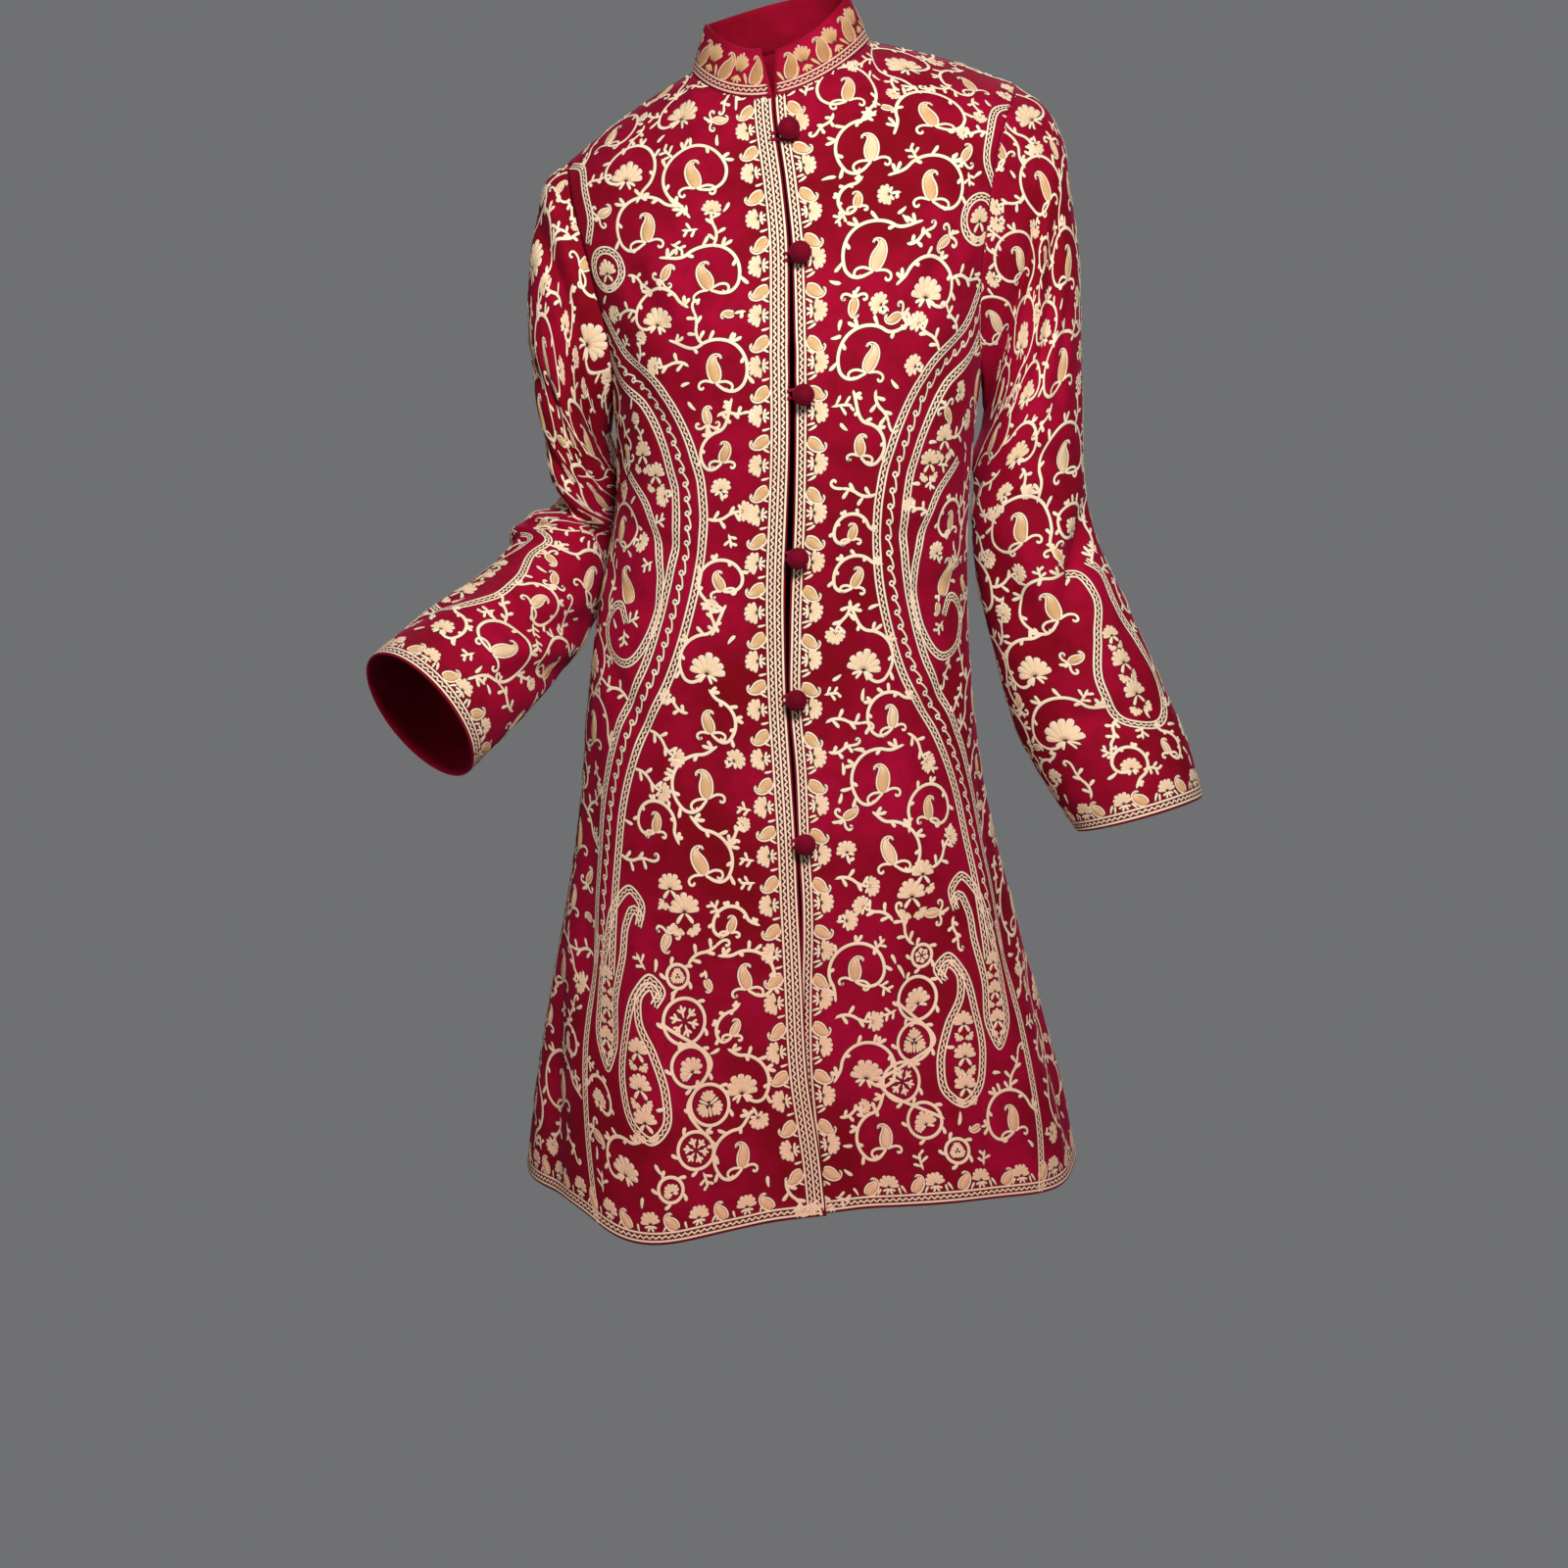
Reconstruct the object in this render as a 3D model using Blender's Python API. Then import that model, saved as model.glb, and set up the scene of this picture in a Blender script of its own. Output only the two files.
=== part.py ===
"""Long embroidered jacket with a stand collar, hollow and shaped as it is worn.

Metres, +Z up. The front faces -Y and the wearer's left is +X. The origin is the middle of the
neck, level with the points where the shoulder seams meet the collar.
"""

import math

import bpy
import numpy as np

WALL = 0.0018
COLLAR_WALL = 0.0026
SEAM = 0.0003

# Torso sections, top to bottom. middle is the section's centre across, half its half width, front and
# back its half depths, and turn how far the section is twisted, in degrees.
TORSO_COLUMNS = ("z", "middle", "half", "front", "back", "turn")
TORSO = (
    (-0.115, -0.001, 0.198, 0.106, 0.100, -5.0),
    (-0.180, 0.001, 0.182, 0.132, 0.112, -5.0),
    (-0.240, 0.003, 0.167, 0.142, 0.113, -4.0),
    (-0.300, 0.001, 0.159, 0.143, 0.108, -2.5),
    (-0.380, -0.004, 0.155, 0.134, 0.099, -0.5),
    (-0.470, -0.014, 0.163, 0.128, 0.099, 3.0),
    (-0.560, -0.018, 0.172, 0.130, 0.113, 5.5),
    (-0.650, -0.017, 0.182, 0.136, 0.128, 6.0),
    (-0.740, -0.014, 0.200, 0.145, 0.139, 5.5),
    (-0.820, -0.012, 0.219, 0.155, 0.149, 5.0),
    (-0.900, -0.009, 0.237, 0.166, 0.160, 5.5),
    (-0.979, -0.006, 0.251, 0.178, 0.170, 6.0),
)
ROUNDNESS = 2.25
FIRST_SECTION_Z = TORSO[0][0]
HEM_Z = TORSO[-1][0]

# One shoulder is carried higher. lean is the rise of each section across, per metre.
LEAN_Z = (-0.50, -0.40, -0.25, -0.12, 0.0, 0.06)
LEAN = (0.0, 0.012, 0.06, 0.15, 0.155, 0.155)

# Neckline and shoulder seam, before the lean.
NECK_MIDDLE = -0.008
NECK_TURN = -6.0
NECK_HALF = 0.0765
NECK_FRONT = 0.066
NECK_BACK = 0.062
NECK_SEAM_Y = 0.006
NECK_FRONT_DROP = 0.037
NECK_BACK_RISE = 0.010
SHOULDER_X = 0.190
SHOULDER_Y = 0.010
SHOULDER_Z = -0.056
NECK_SHARE = 0.44
CAP_LENGTH = 0.105

# Armhole: the angle round each section where the panel ends, 0 at the front centre and 90 at the side.
ARMHOLE_ANGLE = 63.0
UNDERARM_Z = -0.285
SIDE_ANGLE = 90.0

# Front edges, from the neck down: how far each lies from the middle line, towards the wearer's left.
EDGE_COLUMNS = ("z", "right_front", "left_front")
EDGES = (
    (-0.040, -0.0006, 0.0006),
    (-0.100, 0.0012, 0.0028),
    (-0.170, 0.0066, 0.0086),
    (-0.240, 0.0016, 0.0056),
    (-0.330, -0.0016, 0.0026),
    (-0.420, -0.0050, 0.0002),
    (-0.490, -0.0056, -0.0020),
    (-0.541, -0.0062, -0.0044),
    (-0.600, -0.0052, -0.0022),
    (-0.664, -0.0042, -0.0026),
    (-0.710, -0.0045, -0.0021),
    (-0.800, -0.0034, -0.0060),
    (-0.870, -0.0036, -0.0095),
    (-0.930, 0.0004, -0.0090),
    (-0.990, 0.0014, -0.0085),
)
TUCK_TOP_Z = -0.73
TUCK_FULL_Z = -0.80
TUCK_DEPTH = 0.0065
TUCK_WIDTH = 0.075

# Flares of the skirt: angle round the body and half width in degrees, how far it stands out at the hem,
# how much lower the hem hangs there, and the height where it starts. Minus angles are the wearer's right.
FLARE_COLUMNS = ("angle", "width", "out", "drop", "top")
FLARES = (
    (-31.0, 17.0, 0.022, 0.020, -0.58),
    (-68.0, 12.0, -0.006, 0.0, -0.62),
    (12.0, 9.0, -0.009, 0.0, -0.76),
    (52.0, 15.0, 0.010, 0.006, -0.62),
    (-116.0, 12.0, -0.010, 0.0, -0.60),
    (-146.0, 15.0, 0.020, 0.005, -0.56),
    (178.0, 14.0, -0.016, -0.004, -0.54),
    (146.0, 15.0, 0.020, 0.005, -0.58),
    (114.0, 11.0, -0.009, 0.0, -0.62),
)

# Sleeve sections from the cap to the cuff. x is measured away from the middle. heading turns the way that
# the sleeve runs, from straight out (0) to straight forward (90), and dip is how steeply it runs down.
SLEEVE_COLUMNS = ("x", "y", "z", "heading", "dip", "across", "deep")
LEFT_SLEEVE = (
    (0.1965, 0.004, -0.1690, 0.0, 12.0, 0.1210, 0.060),
    (0.2032, 0.005, -0.1850, 0.0, 16.5, 0.1120, 0.062),
    (0.2060, 0.006, -0.2110, 0.0, 20.5, 0.0995, 0.063),
    (0.2085, 0.007, -0.2425, 0.0, 27.5, 0.0860, 0.063),
    (0.2062, 0.008, -0.2840, 0.0, 37.5, 0.0725, 0.062),
    (0.2052, 0.009, -0.3340, 0.0, 55.0, 0.0575, 0.060),
    (0.2045, 0.009, -0.3830, 0.0, 70.5, 0.0525, 0.058),
    (0.2098, 0.008, -0.4275, 2.0, 74.0, 0.0550, 0.059),
    (0.2320, 0.003, -0.4960, 4.0, 73.0, 0.0620, 0.061),
    (0.2565, -0.004, -0.5670, 8.0, 71.0, 0.0675, 0.063),
    (0.2825, -0.013, -0.6220, 16.0, 72.0, 0.0650, 0.065),
    (0.3005, -0.020, -0.6635, 26.0, 73.0, 0.0575, 0.066),
)
RIGHT_SLEEVE = (
    (0.1930, 0.006, -0.2020, 0.0, 12.0, 0.1000, 0.060),
    (0.1970, 0.008, -0.2210, -4.0, 15.0, 0.0930, 0.062),
    (0.2000, 0.011, -0.2425, -8.0, 18.0, 0.0850, 0.062),
    (0.1992, 0.015, -0.2730, -12.0, 24.0, 0.0730, 0.062),
    (0.1970, 0.021, -0.3040, -14.0, 30.0, 0.0610, 0.062),
    (0.1935, 0.029, -0.3350, -16.0, 38.0, 0.0480, 0.063),
    (0.1930, 0.039, -0.3750, -20.0, 58.0, 0.0360, 0.064),
    (0.2050, 0.042, -0.4180, 55.0, 70.0, 0.0400, 0.064),
    (0.2235, 0.022, -0.4580, 56.0, 46.0, 0.0480, 0.064),
    (0.2455, -0.012, -0.4850, 56.0, 34.0, 0.0540, 0.064),
    (0.2740, -0.058, -0.5080, 53.0, 30.0, 0.0590, 0.065),
    (0.3030, -0.099, -0.5320, 47.0, 30.0, 0.0615, 0.066),
    (0.3230, -0.130, -0.5490, 41.0, 31.0, 0.0620, 0.067),
)

# Large folds of the sleeves. Each runs from one place to another: share of the length from the armhole, and
# the angle round the sleeve, 0 outside, 90 in front, 180 inside. depth is inwards, minus for a ridge.
SLEEVE_LENGTH = 0.60
SLEEVE_RADIUS = 0.060
FOLD_COLUMNS = ("from_share", "from_angle", "to_share", "to_angle", "width", "depth")
LEFT_FOLDS = (
    (0.09, 71.0, 0.08, 140.0, 0.013, 0.012),
    (0.13, 58.0, 0.29, 88.0, 0.013, 0.010),
    (0.53, 26.0, 0.66, 88.0, 0.014, 0.011),
    (0.81, 116.0, 0.84, 62.0, 0.014, 0.008),
    (0.54, 140.0, 0.76, 100.0, 0.024, 0.009),
    (0.16, 250.0, 0.48, 266.0, 0.018, 0.011),
    (0.56, 306.0, 0.80, 258.0, 0.018, 0.009),
    (-0.08, 186.0, 0.34, 202.0, 0.024, -0.023),
)
RIGHT_FOLDS = (
    (0.10, 20.0, 0.06, 100.0, 0.013, 0.013),
    (0.06, 118.0, 0.28, 182.0, 0.014, 0.013),
    (0.455, -20.0, 0.460, 104.0, 0.016, 0.033),
    (0.395, -30.0, 0.415, 62.0, 0.026, 0.012),
    (0.47, 124.0, 0.54, 170.0, 0.014, 0.011),
    (0.65, 178.0, 0.84, 107.0, 0.015, 0.010),
    (0.72, 200.0, 0.90, 140.0, 0.015, 0.008),
    (0.29, 40.0, 0.24, 96.0, 0.014, 0.008),
    (0.18, 262.0, 0.40, 290.0, 0.018, 0.011),
    (0.60, 250.0, 0.84, 292.0, 0.018, 0.008),
    (0.530, -44.0, 0.530, 52.0, 0.020, -0.012),
    (-0.08, 186.0, 0.36, 204.0, 0.024, -0.026),
)

COLLAR_HEIGHT = 0.041
COLLAR_LEAN_IN = (0.012, 0.011, 0.018)
COLLAR_NOTCH = (0.0115, 0.0)

# Each button's place on the left front: how far below the origin, and how far in from the edge.
BUTTONS = (
    (0.0773, 0.0112),
    (0.1756, 0.0080),
    (0.2860, 0.0072),
    (0.4201, 0.0044),
    (0.5410, 0.0050),
    (0.6636, 0.0048),
)
BUTTON_RADIUS = 0.0092
SHANK_RADIUS = 0.0024
LOOP_CORD_RADIUS = 0.0013
LOOP_TURN_RADIUS = 0.0046
LOOP_LIFT = 0.0019
LOOP_REACH = 0.006

# Mesh density.
FRONT_COLUMNS = 12
ARMHOLE_ROWS = 13
SKIRT_ROWS = 22
SLEEVE_ROWS = 36
COLLAR_ROWS = 3

# Colour and roughness of each kind of piece, by the first word of its name.
LOOKS = {
    "button": ((0.34, 0.005, 0.040), 0.80),
    "loop": ((0.30, 0.005, 0.030), 0.85),
}
CLOTH = ((0.38, 0.006, 0.035), 0.92)


def smooth(knots, values, at):
    """A smooth curve through values at rising knots, read at the places in at."""
    knots = np.asarray(knots, float)
    values = np.asarray(values, float)
    at = np.clip(np.asarray(at, float), knots[0], knots[-1])
    slopes = np.gradient(values, knots, axis=0)
    index = np.clip(np.searchsorted(knots, at, side="right") - 1, 0, len(knots) - 2)
    step = knots[index + 1] - knots[index]
    t = (at - knots[index]) / step
    shape = (-1,) + (1,) * (values.ndim - 1)
    t = t.reshape(shape)
    step = step.reshape(shape)
    start = (2 * t**3 - 3 * t**2 + 1) * values[index] + (t**3 - 2 * t**2 + t) * step * slopes[index]
    end = (3 * t**2 - 2 * t**3) * values[index + 1] + (t**3 - t**2) * step * slopes[index + 1]
    return start + end


def fade(x, low, high):
    """0 below low and 1 above high, smooth between; low may be the larger one."""
    t = np.clip((np.asarray(x, float) - low) / (high - low), 0.0, 1.0)
    return t * t * (3 - 2 * t)


def unit(vectors):
    vectors = np.asarray(vectors, float)
    length = np.linalg.norm(vectors, axis=-1, keepdims=True)
    return vectors / np.maximum(length, 1e-12)


def column(table, columns, name):
    return np.array([row[columns.index(name)] for row in table])


def torso_size(name, z):
    """One column of the torso table at height z."""
    heights = column(TORSO, TORSO_COLUMNS, "z")[::-1]
    values = column(TORSO, TORSO_COLUMNS, name)[::-1]
    return smooth(heights, values, np.atleast_1d(z))


def turned(x, y, degrees):
    angle = np.radians(degrees)
    return x * np.cos(angle) - y * np.sin(angle), x * np.sin(angle) + y * np.cos(angle)


def angle_gap(angle, middle):
    """Signed difference of two angles round the body, in degrees, from -180 to 180."""
    return (np.asarray(angle, float) - middle + 180.0) % 360.0 - 180.0


def torso_ring(z, angles):
    """Points of the torso section at height z, at the given angles round it, before the lean."""
    z = float(z)
    half, front, back, middle, turn = (
        float(torso_size(name, z)[0]) for name in ("half", "front", "back", "middle", "turn")
    )
    radians = np.radians(angles)
    sine, cosine = np.sin(radians), np.cos(radians)
    power = 2 / ROUNDNESS
    x = half * np.sign(sine) * np.abs(sine) ** power
    depth = np.where(cosine > 0, front, back)
    y = -depth * np.sign(cosine) * np.abs(cosine) ** power
    down = np.zeros_like(x)
    reach = np.hypot(x, y)
    grow = np.zeros_like(x)
    for angle, width, out, drop, top in FLARES:
        weight = np.exp(-((angle_gap(angles, angle) / width) ** 2))
        amount = float(fade(z, top, HEM_Z)) * weight
        grow += out * amount
        down += drop * amount
    x, y = x * (1 + grow / reach), y * (1 + grow / reach)
    x, y = turned(x, y, turn)
    return np.stack([x + middle, y, z - down], axis=1)


def edge_reach(side, z):
    """Where a front's edge lies along its section, in metres from the middle line, away from the middle."""
    name = "left_front" if side > 0 else "right_front"
    heights = column(EDGES, EDGE_COLUMNS, "z")[::-1]
    return side * float(smooth(heights, column(EDGES, EDGE_COLUMNS, name)[::-1], [z])[0])


def armhole_angle(z):
    """The angle where a panel ends at height z: along the armhole, and then at the side seam."""
    share = np.clip((FIRST_SECTION_Z - z) / (FIRST_SECTION_Z - UNDERARM_Z), 0.0, 1.0)
    return ARMHOLE_ANGLE + (SIDE_ANGLE - ARMHOLE_ANGLE) * (1 - (1 - share**2.6) ** 0.5)


def panel_ring(side, face, z, shares):
    """A row of one quarter of the torso, from the centre line (0) to the armhole or side seam (1).

    side is 1 for the wearer's left, and face is 1 for the front and -1 for the back.
    """
    end = float(armhole_angle(z))
    dense = np.linspace(-12.0, end, 70)
    angles = side * (dense if face > 0 else 180.0 - dense)
    points = torso_ring(z, angles)
    steps = np.linalg.norm(np.diff(points, axis=0), axis=1)
    length = np.concatenate([[0.0], np.cumsum(steps)])
    length -= np.interp(0.0, dense, length)
    start = edge_reach(side, z) if face > 0 else 0.0
    finish = length[-1] - (SEAM / 2 if end > SIDE_ANGLE - 0.01 else 0.0)
    wanted = start + (finish - start) * np.asarray(shares)
    row = np.stack([np.interp(wanted, length, points[:, i]) for i in range(3)], axis=1)
    if side > 0 and face > 0:
        tuck = TUCK_DEPTH * float(fade(z, TUCK_TOP_Z, TUCK_FULL_Z))
        row[:, 1] += tuck * (1 - fade(wanted, TUCK_WIDTH * 0.3, TUCK_WIDTH))
    return row


def top_edge(side, face, shares):
    """The neckline and then the shoulder seam of one quarter, before the lean."""
    shares = np.asarray(shares, float)
    round_neck = np.clip(shares / NECK_SHARE, 0.0, 1.0) * 90.0
    radians = np.radians(round_neck)
    depth = NECK_FRONT if face > 0 else NECK_BACK
    start = edge_reach(side, EDGES[0][0]) if face > 0 else 0.0
    x = start + (NECK_HALF - start) * np.sin(radians)
    y = NECK_SEAM_Y - face * (depth + face * NECK_SEAM_Y) * np.cos(radians)
    rise = -NECK_FRONT_DROP if face > 0 else NECK_BACK_RISE
    z = rise * np.cos(radians) ** 1.6
    x, y = turned(side * x, y, NECK_TURN * np.cos(radians))
    along = np.clip((shares - NECK_SHARE) / (1 - NECK_SHARE), 0.0, 1.0)
    shoulder = side * (SHOULDER_X + 0.002)
    seam = side * NECK_HALF + (shoulder - side * NECK_HALF) * along
    x = np.where(along > 0, seam, x) + NECK_MIDDLE * (1 - along)
    y = y + (SHOULDER_Y - NECK_SEAM_Y) * along - face * SEAM / 2 * (shares >= NECK_SHARE)
    z = z + SHOULDER_Z * along + 0.004 * np.sin(np.pi * along)
    return np.stack([x, y, z], axis=1)


def top_heading(side, face, shares):
    """The way each column leaves the neckline or the shoulder seam."""
    shares = np.asarray(shares, float)
    over = fade(shares, 0.0, NECK_SHARE)
    x = side * 0.10 * over
    y = -face * (0.50 + 0.42 * over)
    z = -0.86 + 0.50 * over
    return unit(np.stack([x, y, z], axis=1))


def lean(points):
    """The rise of the higher shoulder."""
    points = np.array(points, float)
    shape = points.shape
    points = points.reshape(-1, 3)
    points[:, 2] += np.interp(points[:, 2], LEAN_Z, LEAN) * points[:, 0]
    return points.reshape(shape)


def panel_point_rows(side, face, levels, shares):
    """Rows of a quarter. A level is the way down: 0 at the top edge, CAP_LENGTH at the first section."""
    top = top_edge(side, face, shares)
    heading = top_heading(side, face, shares)
    first = panel_ring(side, face, FIRST_SECTION_Z, shares)
    below = panel_ring(side, face, FIRST_SECTION_Z - 0.004, shares)
    falling = (below - first) / 0.004
    reach = np.linalg.norm(first - top, axis=1, keepdims=True)
    rows = []
    for level in levels:
        if level < CAP_LENGTH:
            t = level / CAP_LENGTH
            rows.append(
                (2 * t**3 - 3 * t**2 + 1) * top
                + (t**3 - 2 * t**2 + t) * heading * reach * 1.1
                + (3 * t**2 - 2 * t**3) * first
                + (t**3 - t**2) * falling * reach
            )
        else:
            rows.append(panel_ring(side, face, FIRST_SECTION_Z - (level - CAP_LENGTH), shares))
    return lean(np.array(rows))


def grid_normals(grid):
    """Outward normals of a grid of points: rows run down and columns run round, seen from outside."""
    down = np.gradient(grid, axis=0)
    across = np.gradient(grid, axis=1)
    return unit(np.cross(down, across))


def levels_of(armhole_rows, skirt_rows):
    """Heights of the rows, as levels, closer together under the arm where the armhole turns."""
    underarm = CAP_LENGTH + FIRST_SECTION_Z - UNDERARM_Z
    hem = CAP_LENGTH + FIRST_SECTION_Z - HEM_Z
    t = np.linspace(0.0, 1.0, armhole_rows + 1)
    upper = underarm * (1 - (1 - t) ** 1.25)
    return np.concatenate([upper, np.linspace(underarm, hem, skirt_rows + 1)[1:]])


def panels(columns, armhole_rows, skirt_rows):
    """Outer points of the fronts and the back as grids, columns running to the viewer's right."""
    levels = levels_of(armhole_rows, skirt_rows)
    shares = np.linspace(0.0, 1.0, columns + 1)
    quarter = {
        (side, face): panel_point_rows(side, face, levels, shares) for side in (-1, 1) for face in (-1, 1)
    }
    back = np.concatenate([quarter[1, -1][:, ::-1], quarter[-1, -1][:, 1:]], axis=1)
    return {"front_right": quarter[-1, 1][:, ::-1], "front_left": quarter[1, 1], "back": back}


def panel_normals(grids):
    """Normals of the three panels, the same on both sides of each shoulder and side seam."""
    normals = {name: grid_normals(grid) for name, grid in grids.items()}
    neck = int(round(NECK_SHARE * FRONT_COLUMNS))
    wide = FRONT_COLUMNS
    for side, front in ((1, "front_left"), (-1, "front_right")):
        for i in range(neck, wide + 1):
            a = (0, i if side > 0 else wide - i)
            b = (0, wide - side * i)
            shared = unit(normals[front][a] + normals["back"][b])
            normals[front][a] = shared
            normals["back"][b] = shared
        edge = -1 if side > 0 else 0
        other = 0 if side > 0 else -1
        shared = unit(normals[front][ARMHOLE_ROWS:, edge] + normals["back"][ARMHOLE_ROWS:, other])
        normals[front][ARMHOLE_ROWS:, edge] = shared
        normals["back"][ARMHOLE_ROWS:, other] = shared
    return normals


def seam_row(edge, normal, outward, away, wall, gap=SEAM):
    """The first row of a piece sewn to another's edge: its outer points, and the way its wall goes in.

    normal and outward belong to the edge that it is sewn to, and away is the way the new piece runs.
    """
    along = (away * outward).sum(axis=1)
    lifted = (away * normal).sum(axis=1)
    fold = np.clip(np.arctan2(lifted, along), 0.0, np.pi)[:, None]
    inward = np.sin(fold) * outward - np.cos(fold) * normal
    shift = unit(outward * (1 + np.cos(fold)) / 2 + normal * (1 - np.cos(fold)) / 2)
    first = edge + gap * shift
    return first, first + wall * inward


def armhole_loop(grids, normals, side, armhole_rows):
    """The armhole's points from the shoulder down the front and up the back, with normals and the way out."""
    front, back = ("front_left", "back") if side > 0 else ("front_right", "back")
    front_edge = -1 if side > 0 else 0
    back_edge = 0 if side > 0 else -1
    front_in = -2 if side > 0 else 1
    back_in = 1 if side > 0 else -2
    n = armhole_rows

    def edge(name, index, inner):
        points = grids[name][: n + 1, index]
        return points, normals[name][: n + 1, index], points - grids[name][: n + 1, inner]

    pf, nf, of = edge(front, front_edge, front_in)
    pb, nb, ob = edge(back, back_edge, back_in)
    points = np.concatenate([[(pf[0] + pb[0]) / 2], pf[1:-1], [(pf[-1] + pb[-1]) / 2], pb[-2:0:-1]])
    normal = np.concatenate([[nf[0] + nb[0]], nf[1:-1], [nf[-1] + nb[-1]], nb[-2:0:-1]])
    out = np.concatenate([[of[0] + ob[0]], of[1:-1], [np.array([0.0, 0.0, 1.0])], ob[-2:0:-1]])
    normal = unit(normal)
    tangent = unit(np.roll(points, -1, axis=0) - np.roll(points, 1, axis=0))
    out = out - (out * tangent).sum(axis=1, keepdims=True) * tangent
    out = out - (out * normal).sum(axis=1, keepdims=True) * normal
    return points, normal, unit(out)


def carried(vector, old, new):
    """vector turned by the smallest turn that takes direction old to new."""
    axis = np.cross(old, new)
    sine, cosine = np.linalg.norm(axis), float(np.dot(old, new))
    if sine < 1e-9:
        return vector
    axis = axis / sine
    return vector * cosine + np.cross(axis, vector) * sine + axis * np.dot(axis, vector) * (1 - cosine)


def sleeve_sections(table, side, around):
    """Points of each tabled sleeve section, at the angles in around."""
    outward, forward, up = np.array([side, 0.0, 0.0]), np.array([0.0, -1.0, 0.0]), np.array([0.0, 0.0, 1.0])
    old, top, front = outward, up, forward
    rings = []
    for x, y, z, heading, dip, across, deep in table:
        h, d = math.radians(heading), math.radians(dip)
        new = math.cos(d) * (math.cos(h) * outward + math.sin(h) * forward) - math.sin(d) * up
        top, front, old = carried(top, old, new), carried(front, old, new), new
        centre = np.array([side * x, y, z])
        angle = np.radians(around)[:, None]
        rings.append(centre + across * np.cos(angle) * top + deep * np.sin(angle) * front)
    return np.array(rings)


def loop_angles(points, armhole_rows):
    """Angles round the sleeve for the armhole's points: 0 at the shoulder, 180 at the underarm."""
    steps = np.linalg.norm(np.roll(points, -1, axis=0) - points, axis=1)
    length = np.concatenate([[0.0], np.cumsum(steps)])
    n = armhole_rows
    front = 180.0 * length[: n + 1] / length[n]
    back = 180.0 + 180.0 * (length[n + 1 : -1] - length[n]) / (length[-1] - length[n])
    return np.concatenate([front, back])


def fold_depth(folds, shares, angles):
    """How far the folds draw each point of a sleeve inwards."""
    down = shares[:, None] * SLEEVE_LENGTH
    total = np.zeros((len(shares), len(angles)))
    for from_share, from_angle, to_share, to_angle, width, depth in folds:
        run = (to_share - from_share) * SLEEVE_LENGTH
        reach = math.radians(to_angle - from_angle) * SLEEVE_RADIUS
        for whole_turn in (-360.0, 0.0, 360.0):
            round_it = np.radians(angles[None, :] + whole_turn - from_angle) * SLEEVE_RADIUS
            past = down - from_share * SLEEVE_LENGTH
            along = np.clip((past * run + round_it * reach) / (run**2 + reach**2), 0.0, 1.0)
            gap = np.hypot(past - along * run, round_it - along * reach)
            total += depth * (1 - (2 * along - 1) ** 4 * 0.6) * np.exp(-((gap / width) ** 2))
    return total * fade(shares, 0.0, 0.04)[:, None] * fade(shares, 1.0, 0.93)[:, None]


def sleeve(table, folds, side, loop, rows, wall):
    """Outer and inner points of a sleeve, rows from the armhole to the cuff."""
    points, normal, outward, armhole_rows = loop
    around = loop_angles(points, armhole_rows)
    rings = np.concatenate([points[None], sleeve_sections(table, side, around)])
    centres = rings.mean(axis=1)
    along = np.concatenate([[0.0], np.cumsum(np.linalg.norm(np.diff(centres, axis=0), axis=1) + 0.012)])
    shares = np.linspace(0.0, 1.0, rows + 1) ** 1.1
    grid = smooth(along / along[-1], rings, shares)
    middle = grid.mean(axis=1, keepdims=True)
    inward = unit(middle - grid)
    grid = grid + fold_depth(folds, shares, around)[:, :, None] * inward
    closed = np.concatenate([grid[:, -1:], grid, grid[:, :1]], axis=1)
    facing = unit(np.cross(np.gradient(closed, axis=0), np.gradient(closed, axis=1)))[:, 1:-1]
    facing *= np.sign((facing * -inward).sum()) or 1.0
    inner = grid - wall * facing
    first, first_inner = seam_row(points, normal, outward, unit(grid[1] - grid[0]), wall)
    grid[0], inner[0] = first, first_inner
    return grid, inner


def mesh_object(name, vertices, faces):
    mesh = bpy.data.meshes.new(name)
    mesh.from_pydata([tuple(map(float, v)) for v in vertices], [], faces)
    mesh.update()
    made = bpy.data.objects.new(name, mesh)
    bpy.context.scene.collection.objects.link(made)
    mesh.shade_smooth()
    return made


def wall_faces(rows, columns, closed):
    """Faces of a wall whose outer grid comes first and whose inner grid follows, with its rims."""
    count = rows * columns
    wide = columns if closed else columns - 1
    faces = []
    for r in range(rows - 1):
        for c in range(wide):
            n = (c + 1) % columns
            a, b, d, e = r * columns + c, r * columns + n, (r + 1) * columns + n, (r + 1) * columns + c
            faces.append((a, e, d, b))
            faces.append((a + count, b + count, d + count, e + count))
    for c in range(wide):
        n = (c + 1) % columns
        last = (rows - 1) * columns
        faces.append((c, n, n + count, c + count))
        faces.append((last + c, last + c + count, last + n + count, last + n))
    if not closed:
        for r in range(rows - 1):
            a, b = r * columns, (r + 1) * columns
            faces.append((a, a + count, b + count, b))
            a, b = a + columns - 1, b + columns - 1
            faces.append((a, b, b + count, a + count))
    return faces


def wall_object(name, outer, inner, closed=False):
    rows, columns = outer.shape[:2]
    vertices = np.concatenate([outer.reshape(-1, 3), inner.reshape(-1, 3)])
    faces = wall_faces(rows, columns, closed)
    corners = vertices[np.array([[f[0], f[1], f[2]] for f in faces] + [[f[0], f[2], f[3]] for f in faces])]
    volume = np.linalg.det(corners - vertices.mean(axis=0)).sum()
    if volume < 0:
        faces = [f[::-1] for f in faces]
    return mesh_object(name, vertices, faces)


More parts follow.
